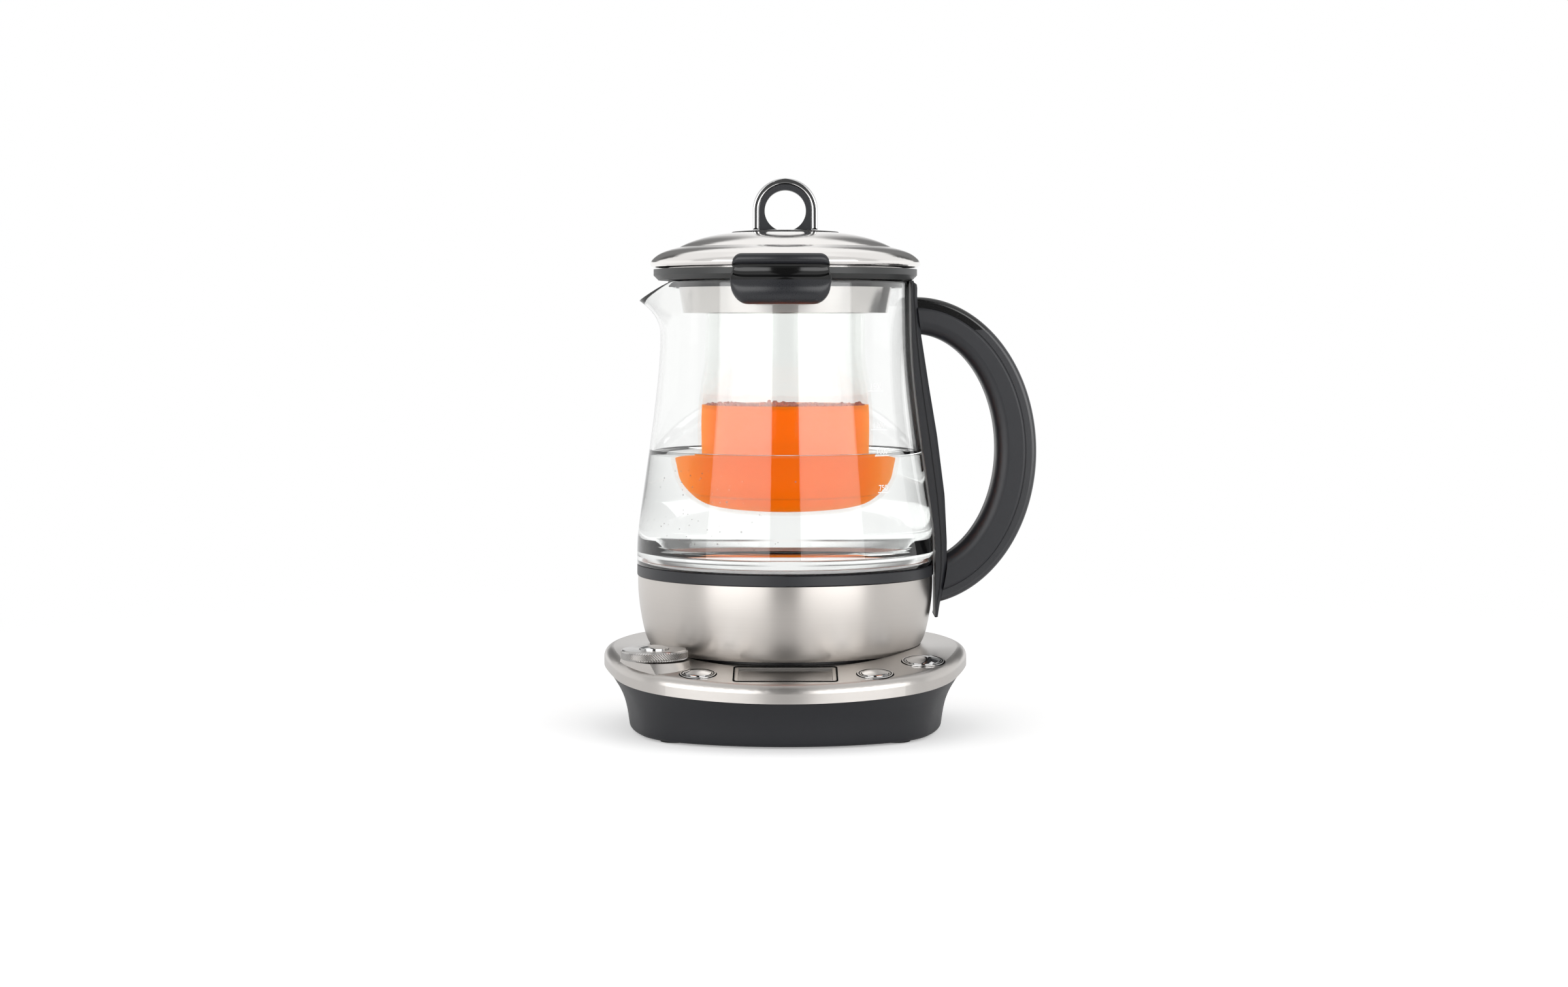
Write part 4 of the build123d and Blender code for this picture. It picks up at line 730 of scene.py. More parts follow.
LCD = replace(SILVER_WINDOW, name="look_lcd_grey", colour=grey(170, 1), roughness=0.24)
SCREW_STEEL = BrushedMetal("look_screw_steel", grey(170), roughness=0.35, line=0.2 * MM)
CHROME = Chrome("look_bright_chrome", grey(226))
BRASS = Chrome("look_contact_brass", screen(214, 176, 96), 0.18)
ALUMINIUM = BrushedMetal("look_heater_aluminium", grey(196), roughness=0.4, line=1.2 * MM)
CHARCOAL = Moulded("look_charcoal_plastic", screen(33, 34, 38), 0.4)
RIM_CHARCOAL = Moulded("rim_charcoal", screen(50, 51, 51), 0.4)
BLACK = Moulded("look_gloss_black_plastic", grey(26), 0.22, grain_height=0.006 * MM)
COVER = Moulded("cover_charcoal", screen(33, 34, 38), 0.38, gloss_from=214 * MM, gloss_to=240 * MM, coat=0.6)
SHADOW_LINE = Moulded("shadow_line", grey(18), 0.8, shine=0.0)
GREY_PLASTIC = Moulded("look_grey_plastic", grey(122), 0.5)
SILICONE = Moulded("look_silicone", grey(208), 0.6, grain_height=0.01 * MM)
RUBBER = Moulded("look_rubber_feet", grey(38), 0.8)
GLASS = Clear("look_clear_glass", GLASS_TINT, 1.5)
WET_GLASS = replace(GLASS, name="wet_glass", mirror=0.1)
INSERT_GLASS = HalfWet("insert_glass_clear", GLASS_TINT, 1.5, centre=tuple(JUG_AXIS))
WATER = Clear("water", (0.985, 0.993, 0.99), 1.33)
WATER_SIDE = replace(WATER, name="water_side", mirror=0.05)
TEA = Tea(
    "orange_tea",
    haze=screen(255, 112, 2),
    # upper is the haze painted darker: painted shade above the water line.
    upper=screen(238, 84, 4),
    # The glow colours are painted light, brightest at the sides.
    glow=(0.5, 0.15, 0.0),
    painted_side_glow=(0.62, 0.24, 0.01),
    painted_upper_glow=(0.3, 0.014, 0.0),
    through=(0.999, 0.7, 0.0),
    density=120.0,
    centre=tuple(JUG_AXIS),
)
FROTH = Moulded("froth_skin", screen(220, 120, 86), 0.25, grain_height=0.0)
AIR_BUBBLES = Bubbles("air_bubbles", grey(236), 0.3)
BOARD = CircuitBoard("look_board_green", screen(22, 92, 52))
WHITE_INK = Ink("white_ink", grey(246))
GREY_INK = Ink("grey_ink", grey(96))


# ------------------------------------------------------------------ mesh tools


def linked(name: str, data: bpy.types.ID) -> bpy.types.Object:
    """Makes an object of some data and puts it into the scene."""
    made = bpy.data.objects.new(name, data)
    bpy.context.scene.collection.objects.link(made)
    return made


def of_kind(elements: list, kind: type) -> list:
    """The elements of one kind, such as the points among what an extrusion made."""
    return [element for element in elements if isinstance(element, kind)]


def rows_between(elements: list, ends: set[bmesh.types.BMVert]) -> list[bmesh.types.BMEdge]:
    """The edges among some elements that run between given points."""
    return [edge for edge in of_kind(elements, bmesh.types.BMEdge) if ends.issuperset(edge.verts)]


def all_smooth(shape: bmesh.types.BMesh) -> None:
    """Shades every face smooth, in the first finish."""
    for face in shape.faces:
        face.smooth = True
        face.material_index = 0


def welded(node: str) -> bmesh.types.BMesh:
    """A copy of a CAD node's mesh with its points merged."""
    shape = bmesh.new()
    shape.from_mesh(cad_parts[node].data)
    bmesh.ops.remove_doubles(shape, verts=shape.verts, dist=WELD)
    return shape


def new_piece(name: str, shape: bmesh.types.BMesh, body: str, *finishes: Finish) -> bpy.types.Object:
    """Makes an object of a finished shape.

    Args:
        name: the piece's name.
        shape: the shape, in the row frame; it is freed.
        body: the CAD body that it rides on.
        finishes: the finish of each material number that its faces use.

    Returns:
        The object.
    """
    mesh = bpy.data.meshes.new(name)
    shape.to_mesh(mesh)
    shape.free()
    for finish in finishes:
        mesh.materials.append(finish.material())
    piece = linked(name, mesh)
    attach(piece, body)
    LOG.info("%s: %d faces on %s", name, len(mesh.polygons), body)
    return piece


def dress(finish: Finish, names: Iterable[str]) -> None:
    """Gives CAD nodes a finish.

    Args:
        finish: the finish.
        names: the nodes' names.
    """
    for name in names:
        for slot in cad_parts[name].material_slots:
            slot.material = finish.material()
        LOG.info("%s: %s", name, finish.name)


def merged(node: str, body: str, finish: Finish, crease: float = 35.0) -> bpy.types.Object:
    """A copy of a CAD node with its points merged, smooth but for its sharp edges.

    Args:
        node: the node that the copy takes the place of.
        body: the CAD body that it rides on.
        finish: its finish.
        crease: the smallest angle of a sharp edge, in degrees.

    Returns:
        The piece.
    """
    shape = welded(node)
    bmesh.ops.dissolve_degenerate(shape, edges=shape.edges, dist=SLIVER)
    bmesh.ops.recalc_face_normals(shape, faces=shape.faces)
    for edge in shape.edges:
        edge.smooth = edge.calc_face_angle(0.0) < math.radians(crease)
    all_smooth(shape)
    piece = new_piece(f"{node}_look", shape, body, finish)
    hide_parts(node)
    return piece


def drawn(shape: bmesh.types.BMesh, profile: Profile, ring: bool) -> None:
    """Draws a profile's line, to the right of the zero point.

    Args:
        shape: the shape that the line is added to.
        profile: radius and height of each point in millimetres.
        ring: whether the last point joins the first.
    """
    line = [shape.verts.new((radius * MM, 0, height * MM)) for radius, height in profile]
    for first, second in zip(line, line[1:] + line[:1] if ring else line[1:]):
        shape.edges.new((first, second))


def turned(profile: Profile, centre: Vector, segments: int = 128, ring: bool = False) -> bmesh.types.BMesh:
    """A shape turned about an upright axis.

    Args:
        profile: radius and height of each point in millimetres, from the bottom's middle to the top's.
        centre: a point on the axis.
        segments: number of facets round the axis.
        ring: whether the profile is a closed loop beside the axis.

    Returns:
        The closed and smooth shape.
    """
    shape = bmesh.new()
    drawn(shape, profile, ring)
    bmesh.ops.spin(
        shape,
        geom=shape.verts[:] + shape.edges[:],
        cent=(0, 0, 0),
        axis=(0, 0, 1),
        angle=math.tau,
        steps=segments,
        use_merge=True,
    )
    bmesh.ops.remove_doubles(shape, verts=shape.verts, dist=WELD)
    bmesh.ops.recalc_face_normals(shape, faces=shape.faces)
    bmesh.ops.translate(shape, verts=shape.verts, vec=(centre.x, centre.y, 0))
    all_smooth(shape)
    return shape


def liquid_top(reach: float, height: float, meniscus: Profile) -> Profile:
    """The top of a liquid, which climbs a little at the glass.

    Args:
        reach: radius of the liquid, in millimetres.
        height: height of its level part, in millimetres.
        meniscus: distance from the glass and rise of each point, in millimetres.

    Returns:
        The profile from the glass to the axis.
    """
    return [*((reach - away, height + rise) for away, rise in meniscus), (0.0, height)]


def bubble_cloud(name: str, bubbles: Iterable[tuple[Vector, float]], body: str, finish: Finish) -> None:
    """Makes a piece of many small bubbles.

    Args:
        name: the piece's name.
        bubbles: middle, measured from the jug's axis, and radius of each, in millimetres.
        body: the CAD body that it rides on.
        finish: its finish.
    """
    shape = bmesh.new()
    for middle, size in bubbles:
        placed = Matrix.Translation(middle * MM + TO_JUG_AXIS)
        bmesh.ops.create_uvsphere(shape, u_segments=8, v_segments=5, radius=size * MM, matrix=placed)
    all_smooth(shape)
    new_piece(name, shape, body, finish)


def between_points(a: float, b: float, c: float, d: float, t: float) -> float:
    """The Catmull-Rom value a share t of the way from b to c, where a comes before and d after."""
    return b + (c - a) * t / 2 + (a - 2.5 * b + 2 * c - d / 2) * t**2 + (d - a + 3 * (b - c)) * t**3 / 2


def smooth(points: Profile, before: tuple[float, float] | None = None, steps: int = 6) -> Profile:
    """A smooth curve through points.

    Args:
        points: the points that it passes through.
        before: the point that gives its direction at the start; straight on, where there is none.
        steps: number of short stretches between two points.

    Returns:
        The curve's points.
    """
    first = before or tuple(2 * a - b for a, b in zip(points[0], points[1]))
    last = tuple(2 * a - b for a, b in zip(points[-1], points[-2]))
    line = [first, *points, last]
    curve = []
    for p0, p1, p2, p3 in zip(line, line[1:], line[2:], line[3:]):
        for step in range(steps):
            curve.append(tuple(between_points(*values, step / steps) for values in zip(p0, p1, p2, p3)))
    return [*curve, points[-1]]


def inset(points: Profile, distance: float) -> Profile:
    """A profile moved inwards.

    Args:
        points: a profile that runs outwards and up.
        distance: how far each point moves, square to the profile.

    Returns:
        The inner profile, which never crosses the axis.
    """
    moved = []
    ends = [points[0], *points, points[-1]]
    for (r0, z0), (radius, height), (r1, z1) in zip(ends, ends[1:], ends[2:]):
        share = distance / math.hypot(r1 - r0, z1 - z0)
        moved.append((max(0.0, radius - (z1 - z0) * share), height + (r1 - r0) * share))
    return moved


def level(points: Profile, height: float) -> float:
    """Straight-line reading of a profile.

    Args:
        points: radius and height pairs, rising.
        height: the height to read at.

    Returns:
        The radius there.
    """
    for (low_radius, low), (high_radius, high) in zip(points, points[1:]):
        if low <= height <= high:
            return low_radius + (high_radius - low_radius) * (height - low) / (high - low)
    return points[-1][0] if height > points[-1][1] else points[0][0]


def flat_text(name: str, text: str, size: float) -> bmesh.types.BMesh:
    """Flat letters.

    Args:
        name: name of the curve that they come from.
        text: what they say.
        size: their size in metres.

    Returns:
        The letters, facing up, with their middle above zero.
    """
    curve = bpy.data.curves.new(name, "FONT")
    curve.body = text
    curve.size = size
    curve.align_x = "CENTER"
    letters = linked(name + "_text", curve)
    bpy.context.view_layer.update()
    mesh = bpy.data.meshes.new_from_object(letters)
    bpy.data.objects.remove(letters)
    shape = bmesh.new()
    shape.from_mesh(mesh)
    bpy.data.meshes.remove(mesh)
    return shape


# ------------------------------------------------------------------ the pieces


@dataclass
class Base:
    """The base with its panel, dial and buttons."""

    panel_tilt: float = 7.8
    panel_ahead: float = 53.93
    panel_height: float = 41.69
    knurl_columns: int = 80
    knurl_rows: int = 7
    knurl_radius: float = 17.0
    knurl_rise: float = 0.62
    knurl_low: float = 43.0
    knurl_high: float = 47.3
    display_ahead: float = 85.0
    display_size: tuple[float, float] = (51.6, 27.6)
    display_corner: float = 2.6
    # The display's dark line and the buttons' dark rings are painted shadow; these set their sizes.
    shadow_line_reach: float = 2.2
    shadow_line_width: float = 0.88
    outline: float = 0.55
    proud: float = 0.05
    sunk: float = 0.2
    shadow_lap: float = 0.1
    display_rise: float = 0.3
    ring_rise: float = 0.55
    sleeve: float = 1.1
    flange: float = 1.15
    buttons: tuple[tuple[str, float, float, float], ...] = (
        ("hot_water", -44.8, 85.0, 7.0),
        ("tea", 46.0, 85.0, 7.0),
        ("start", 71.9, 59.5, 8.8),
    )
    patch_place: tuple[float, float, float] = (69.5, 63.5, 11.0)
    patch_reach: float = 9.0
    patch_sunk: float = 0.03
    sign_place: tuple[float, float] = (-66.3, 85.4)
    sign_size: float = 3.6

    def build(self) -> None:
        """Dresses the base's nodes and adds what the solids leave out."""
        dress(PANEL_STEEL, ["top_plate", "display_frame"])
        dress(CHARCOAL, ["bottom_cover"])
        merged("base_housing", "base", CHARCOAL)
        dress(RUBBER, ["feet"])
        dress(SCREW_STEEL, ["base_screws", "board_screws", "dial_encoder"])
        dress(BLACK, ["cord_inlet", "connector_socket", "button_switches"])
        dress(BRASS, ["connector_contacts"])
        dress(CHROME, ["button_rings", "button_hot_water", "button_tea", "button_start", "dial_button"])
        dress(LCD, ["lcd_module"])
        dress(SILVER_WINDOW, ["display_window"])
        dress(GREY_PLASTIC, ["lcd_holder"])
        dress(BOARD, ["control_board"])
        dress(DIAL_STEEL, ["dial_knob"])
        self.knurl()
        self.display_shadow_line()
        self.fill()
        self.sign()
        # Painted shadow: each button gets two dark rings, in the gap outside its ring and in the gap round
        # its cap.
        for name, across, ahead, cap in self.buttons:
            hole = cap + self.sleeve
            top = self.ring_rise + self.proud
            self.panel_shadow_ring(f"{name}_outline", across, ahead, hole + self.flange, self.proud)
            self.panel_shadow_ring(f"{name}_gap_shadow", across, ahead, hole - self.shadow_lap, top)

    def on_panel(self, across: float, ahead: float, lift: float) -> Matrix:
        """The placement of a flat shape on the sloping panel.

        Args:
            across: how far right of the jug's axis, in millimetres.
            ahead: how far before the jug's axis, in millimetres.
            lift: how far above the panel, in millimetres.

        Returns:
            The placement.
        """
        slope = math.radians(self.panel_tilt)
        height = self.panel_height - (ahead - self.panel_ahead) * math.tan(slope)
        where = Vector((JUG_AXIS.x + across * MM, JUG_AXIS.y - ahead * MM, height * MM))
        turn = Matrix.Rotation(slope, 4, "X")
        return Matrix.Translation(where) @ turn @ Matrix.Translation((0, 0, lift * MM))

    def panel_shadow_ring(self, name: str, across: float, ahead: float, radius: float, lift: float) -> None:
        """Lays a thin dark ring round a button: painted shadow in the gap round it.

        Args:
            name: the piece's name.
            across: how far right of the jug's axis, in millimetres.
            ahead: how far before the jug's axis, in millimetres.
            radius: its inner radius, in millimetres.
            lift: how far its top is above the panel, in millimetres.
        """
        outer = radius + self.outline
        profile = [(radius, -self.sunk), (outer, -self.sunk), (outer, 0.0), (radius, 0.0)]
        shape = turned(profile, Vector(), 64, ring=True)
        bmesh.ops.transform(shape, verts=shape.verts, matrix=self.on_panel(across, ahead, lift))
        new_piece(name, shape, "base", SHADOW_LINE)

    def display_shadow_line(self) -> bpy.types.Object:
        """Returns the dark line round the display: painted shadow in the gap round it."""
        shape = bmesh.new()
        bmesh.ops.create_grid(shape, x_segments=1, y_segments=1, size=0.5)
        width, depth = (size + self.shadow_line_reach for size in self.display_size)
        bmesh.ops.scale(shape, verts=shape.verts, vec=(width * MM, depth * MM, 1))
        bmesh.ops.bevel(
            shape,
            geom=shape.verts,
            offset=self.display_corner * MM,
            segments=6,
            profile=0.5,
            affect="VERTICES",
            material=-1,
        )
        bmesh.ops.inset_region(
            shape,
            faces=shape.faces[:],
            thickness=self.shadow_line_width * MM,
            use_boundary=True,
            use_even_offset=True,
        )
        middle = max(shape.faces, key=lambda face: face.calc_area())
        bmesh.ops.delete(shape, geom=[middle], context="FACES_ONLY")
        grown = bmesh.ops.extrude_face_region(shape, geom=shape.faces[:])["geom"]
        raised = of_kind(grown, bmesh.types.BMVert)
        bmesh.ops.translate(shape, verts=raised, vec=(0, 0, (self.display_rise + self.sunk) * MM))
        bmesh.ops.recalc_face_normals(shape, faces=shape.faces)
        placed = self.on_panel(0, self.display_ahead, -self.sunk)
        bmesh.ops.transform(shape, verts=shape.verts, matrix=placed)
        return new_piece("display_shadow_line", shape, "base", SHADOW_LINE)

    def fill(self) -> bpy.types.Object:
        """Returns a patch of the housing's skin below the dial, mirrored from its whole side."""
        across, ahead, height = self.patch_place
        shape = welded("base_housing")
        bmesh.ops.translate(shape, verts=shape.verts, vec=-TO_JUG_AXIS)
        spare = []
        for face in shape.faces:
            middle = face.calc_center_median() / MM
            near = abs(middle.x - across) < self.patch_reach and abs(middle.y + ahead) < self.patch_reach
            outside = face.normal.x * middle.x + face.normal.y * middle.y > 0
            if not (near and outside and middle.z < height):
                spare.append(face)
        bmesh.ops.delete(shape, geom=spare, context="FACES")
        bmesh.ops.scale(shape, verts=shape.verts, vec=(-1, 1, 1))
        bmesh.ops.reverse_faces(shape, faces=shape.faces)
        inwards = Vector((across, ahead, 0)).normalized() * self.patch_sunk * MM
        bmesh.ops.translate(shape, verts=shape.verts, vec=TO_JUG_AXIS + inwards)
        all_smooth(shape)
        return new_piece("housing_patch", shape, "base", CHARCOAL)

    def sign(self) -> bpy.types.Object:
        """Returns the small minus and plus before the dial."""
        shape = flat_text("dial_sign", "-  +", self.sign_size * MM)
        bmesh.ops.transform(shape, verts=shape.verts, matrix=self.on_panel(*self.sign_place, self.proud))
        return new_piece("dial_sign", shape, "base", GREY_INK)

    def knurl(self) -> bpy.types.Object:
        """Returns the dial's band of small raised diamonds."""
        shape = bmesh.new()
        low = bmesh.ops.create_circle(shape, segments=self.knurl_columns * 2, radius=self.knurl_radius * MM)
        ring = shape.edges[:]
        pitch = (self.knurl_high - self.knurl_low) / self.knurl_rows
        rows = [low["verts"]]
        for _ in range(self.knurl_rows):
            grown = bmesh.ops.extrude_edge_only(shape, edges=ring)["geom"]
            verts = of_kind(grown, bmesh.types.BMVert)
            ring = rows_between(grown, set(verts))
            bmesh.ops.translate(shape, verts=verts, vec=(0, 0, pitch * MM))
            rows.append(verts)
        peak = 1 + self.knurl_rise / self.knurl_radius
        for number, verts in enumerate(rows[1:-1], start=1):
            raised = []
            for vert in verts:
                turn = math.atan2(vert.co.y, vert.co.x) / math.tau * self.knurl_columns * 2
                if (round(turn) + number) % 2 == 0:
                    raised.append(vert)
            bmesh.ops.scale(shape, verts=raised, vec=(peak, peak, 1))
        bmesh.ops.recalc_face_normals(shape, faces=shape.faces)
        bmesh.ops.translate(shape, verts=shape.verts, vec=(DIAL_AXIS.x, DIAL_AXIS.y, self.knurl_low * MM))
        return new_piece("dial_knurl", shape, "dial", KNURL_STEEL)


@dataclass
class Jug:
    """The glass jug with its bowl, handle, volume marks and water."""

    wall: float = 2.4
    facet: int = 3
    water_low: int = 92
    meniscus: Profile = ((0.0, 1.3), (0.5, 0.9), (1.2, 0.45), (2.4, 0.12), (4.0, 0.0))
    floor: float = 88.3
    lap: float = 0.2
    ring_radius: float = 75.1
    ring_top: float = 90.2
    foot: float = 87.7
    rim: float = 240.3
    rim_round: float = 0.7
    crest: tuple[float, float] = (0.28, 0.12)
    spout_half_angle: float = 30.0
    spout_from: float = 208.0
    spout_reach: float = 12.4
    spout_dip: float = 10.5
    spout_curl: float = 2.6
    air_bubbles: int = 70
    bubble_heights: tuple[float, float] = (96, 141)
    bubble_sizes: tuple[float, ...] = (0.22, 0.28, 0.35, 0.5)
    bubble_turn: tuple[float, float] = (-38, 17)
    bubble_gap: float = 0.1
    strap_width: float = 26.0
    strap_round: float = 1.6
    strap_gap: float = 0.3
    strap_relief: float = 0.15
    strap_step: float = 0.2
    groove: tuple[float, float] = (0.35, 0.9)
    strap_ends: tuple[float, float] = (59.0, 240.3)
    strap_steps: int = 90
    strap_fall: float = 3.0
    strap_outline: Profile = (
        (82.2, 59.0),
        (83.2, 66.0),
        (85.6, 77.0),
        (87.0, 86.0),
        (87.1, 100.0),
        (85.9, 124.8),
        (81.9, 156.7),
        (77.5, 183.3),
        (73.4, 210.0),
        (71.1, 231.0),
        (71.2, 237.5),
    )
    bowl: Profile = (
        (76.5, 52.2),
        (78.2, 60.6),
        (79.3, 68.6),
        (80.3, 81.3),
        (80.5, 88.0),
        (60.0, 88.1),
        (60.0, 250.0),
    )
    outline: Profile = (
        (80.4, 87.7),
        (80.0, 103.0),
        (76.8, 127.4),
        (73.7, 149.5),
        (70.1, 177.7),
        (68.1, 200.6),
        (67.5, 222.0),
        (67.4, 240.3),
    )
    marks: tuple[tuple[str, float, float, float], ...] = (
        ("1500", 181.7, 47.6, 11.3),
        ("1200", 161.5, 49.2, 12.0),
        ("1000", 147.9, 50.8, 10.6),
        ("750", 128.9, 51.4, 8.0),
    )
    ink_proud: float = 0.06
    line_height: float = 0.5
    number_size: float = 4.3
    number_rise: float = 0.9

    def __post_init__(self) -> None:
        """Works out the smooth outside of the glass."""
        self.outside = smooth(self.outline)

    def build(self) -> None:
        """Dresses the jug's nodes and fills the jug."""
        dress(JUG_STEEL, ["steel_bowl"])
        dress(BLACK, ["jug_coupler"])
        dress(CHARCOAL, ["jug_base_cover", "seat_ring", "handle_grip"])
        dress(COVER, ["handle_cover"])
        dress(PLATE_STEEL, ["heating_plate", "temperature_sensor"])
        dress(SILICONE, ["plate_seal"])
        dress(ALUMINIUM, ["heating_element"])
        dress(SCREW_STEEL, ["handle_screws"])
        self.strap()
        self.glass()
        self.water()
        bubble_cloud("air_bubbles", self.bubbles(), "jug", AIR_BUBBLES)
        self.volume_marks()

    def outer(self, height: float) -> float:
        """The glass's outer radius at a height, in millimetres."""
        return level(self.outside, height)

    def inner(self, height: float) -> float:
        """The glass's inner radius at a height, in millimetres."""
        return self.outer(height) - self.wall

    def strap(self) -> bpy.types.Object:
        """Returns the strap of two parts with a groove between, up to the insert's rim."""
        shape = bmesh.new()
        half, edge = self.strap_width / 2, self.strap_round
        groove, depth = self.groove
        side = [
            (0, half, self.strap_relief),
            (0.5, half, -groove),
            (0.5, half - depth, -groove),
            (0.5, half - depth, groove),
            (0.5, half - self.strap_step, groove),
            (1, half - self.strap_step, -edge),
            (1, half - edge, 0),
        ]
        section = [*side, *((share, -width, offset) for share, width, offset in reversed(side))]
        line = [shape.verts.new((share, width * MM, 0)) for share, width, _ in section]
        edges = [shape.edges.new(pair) for pair in zip(line, line[1:] + line[:1])]
        low, high = self.strap_ends
        for step in range(self.strap_steps + 1):
            height = low + (high - low) * step / self.strap_steps
            if step:
                grown = bmesh.ops.extrude_edge_only(shape, edges=edges)["geom"]
                line = self.in_order(line, grown)
                edges = rows_between(grown, set(line))
            inside = max(self.outer(height), level(self.bowl, height)) + self.strap_gap
            outside = level(self.strap_outline, height)
            fall = self.strap_fall * max(0.0, 1 - (high - height) / self.strap_fall) ** 2
            for vert, (share, width, offset) in zip(line, section):
                far = inside + (outside - fall * share - inside) * share + offset
                vert.co = Vector((far, width, height)) * MM + TO_JUG_AXIS
        bmesh.ops.holes_fill(shape, edges=[edge for edge in shape.edges if edge.is_boundary])
        bmesh.ops.recalc_face_normals(shape, faces=shape.faces)
        piece = new_piece("handle_strap_look", shape, "jug", CHARCOAL)
        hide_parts("handle_strap")
        return piece

    @staticmethod
    def in_order(line: list[bmesh.types.BMVert], grown: list) -> list[bmesh.types.BMVert]:
        """The new points of an extruded ring, in the order of the old ones.

        Args:
            line: the old ring's points.
            grown: what the extrusion made.

        Returns:
            The new points.
        """
        new = set(of_kind(grown, bmesh.types.BMVert))
        return [next(e.other_vert(v) for e in v.link_edges if e.other_vert(v) in new) for v in line]

    def glass(self) -> bpy.types.Object:
        """Returns the glass with its curled lip, which takes the plain solid's place."""
        up = [self.foot, *range(90, 238, self.facet), 238.0, self.rim - self.rim_round]
        outside = [(self.outer(z), z) for z in up]
        inside = [(self.inner(z), z) for z in reversed(up)]
        middle = self.outer(self.rim) - self.wall / 2
        side, drop = self.wall * self.crest[0], self.crest[1]
        crest = [(middle + side, self.rim - drop), (middle, self.rim), (middle - side, self.rim - drop)]
        shape = turned([*outside, *crest, *inside], JUG_AXIS, 192, ring=True)
        for vert in shape.verts:
            self.pull_lip(vert)
        for face in shape.faces:
            place = (face.calc_center_median() - TO_JUG_AXIS) / MM
            if place.z < WATER_LEVEL and place.xy.length < self.outer(place.z) - self.wall / 2:
                face.material_index = 1
        piece = new_piece("jug_glass", shape, "jug", GLASS, WET_GLASS)
        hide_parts("glass_body")
        return piece

    def pull_lip(self, vert: bmesh.types.BMVert) -> None:
        """Draws a point of the glass outwards and down into the pouring lip.

        Args:
            vert: the point.
        """
        out = Vector((vert.co.x - JUG_AXIS.x, vert.co.y - JUG_AXIS.y))
        angle = abs(math.degrees(math.atan2(out.y, -out.x)))
        rise = (vert.co.z / MM - self.spout_from) / (self.rim - self.spout_from)
        if angle >= self.spout_half_angle or rise <= 0:
            return
        share = math.cos(math.radians(angle * 90 / self.spout_half_angle)) ** 2
        out *= 1 + self.spout_reach * share * rise**self.spout_curl / self.outer(self.rim)
        dip = self.spout_dip * share * rise * MM
        vert.co = Vector((JUG_AXIS.x + out.x, JUG_AXIS.y + out.y, vert.co.z - dip))

    def water(self) -> bpy.types.Object:
        """Returns the water, whose surface climbs a little at the glass."""
        reach = self.inner(WATER_LEVEL) + self.lap
        ring = [(0.0, self.floor), (self.ring_radius, self.floor), (self.ring_radius, self.ring_top)]
        side = [(self.inner(z) + self.lap, z) for z in range(self.water_low, int(WATER_LEVEL), self.facet)]
        top = liquid_top(reach, WATER_LEVEL, self.meniscus)
        shape = turned([*ring, *side, *top], JUG_AXIS, 192)
        for face in shape.faces:
            if abs(face.normal.z) < 0.5 or face.calc_center_median().z < (WATER_LEVEL - 1) * MM:
                face.material_index = 1
        return new_piece("water", shape, "jug", WATER, WATER_SIDE)

    def bubbles(self) -> Iterable[tuple[Vector, float]]:
        """Yields the tiny air bubbles that cling to the glass under water, middle and radius of each."""
        draw = random.Random(5)
        for _ in range(self.air_bubbles):
            height = draw.uniform(*self.bubble_heights)
            size = draw.choice(self.bubble_sizes)
            turn = math.radians(draw.gauss(*self.bubble_turn))
            out = self.inner(height) - size - self.bubble_gap
            yield Vector((out * math.sin(turn), -out * math.cos(turn), height)), size

    def volume_marks(self) -> None:
        """Prints the volume numbers and their lines on the glass."""
        for text, height, across, width in self.marks:
            self.print_line(f"mark_line_{text}", height, across, width)
            self.print_number(f"mark_{text}", text, height, across)

    def wrap(self, shape: bmesh.types.BMesh, across: float, height: float) -> None:
        """Bends a flat shape onto the glass.

        Args:
            shape: a shape in the xz plane, in metres, with its thickness along y.
            across: how far right of the jug's axis its middle comes, in millimetres.
            height: height of its zero, in millimetres.
        """
        radius = self.outer(height) * MM
        turn = math.asin(across * MM / radius)
        for vert in shape.verts:
            here = self.outer(height + vert.co.z / MM) * MM + vert.co.y
            angle = turn + vert.co.x / radius
            bent = (here * math.sin(angle), -here * math.cos(angle), height * MM + vert.co.z)
            vert.co = Vector(bent) + TO_JUG_AXIS

    def print_line(self, name: str, height: float, across: float, width: float) -> None:
        """Prints one line.

        Args:
            name: the piece's name.
            height: height of the line, in millimetres.
            across: how far right of the axis its middle is, in millimetres.
            width: its length, in millimetres.
        """
        shape = bmesh.new()
        bmesh.ops.create_grid(shape, x_segments=12, y_segments=1, size=0.5)
        bmesh.ops.rotate(shape, verts=shape.verts, matrix=Matrix.Rotation(math.pi / 2, 3, "X"))
        bmesh.ops.scale(shape, verts=shape.verts, vec=(width * MM, 1, self.line_height * MM))
        bmesh.ops.translate(shape, verts=shape.verts, vec=(0, self.ink_proud * MM, 0))
        self.wrap(shape, across, height)
        new_piece(name, shape, "jug", WHITE_INK)

    def print_number(self, name: str, text: str, height: float, across: float) -> None:
        """Prints one number above its line.

        Args:
            name: the piece's name.
            text: the number.
            height: height of the line, in millimetres.
            across: how far right of the axis its middle is, in millimetres.
        """
        shape = flat_text(name, text, self.number_size * MM)
        bmesh.ops.rotate(shape, verts=shape.verts, matrix=Matrix.Rotation(math.pi / 2, 3, "X"))
        bmesh.ops.translate(shape, verts=shape.verts, vec=(0, self.ink_proud * MM, self.number_rise * MM))
        self.wrap(shape, across, height)
        new_piece(name, shape, "jug", WHITE_INK)


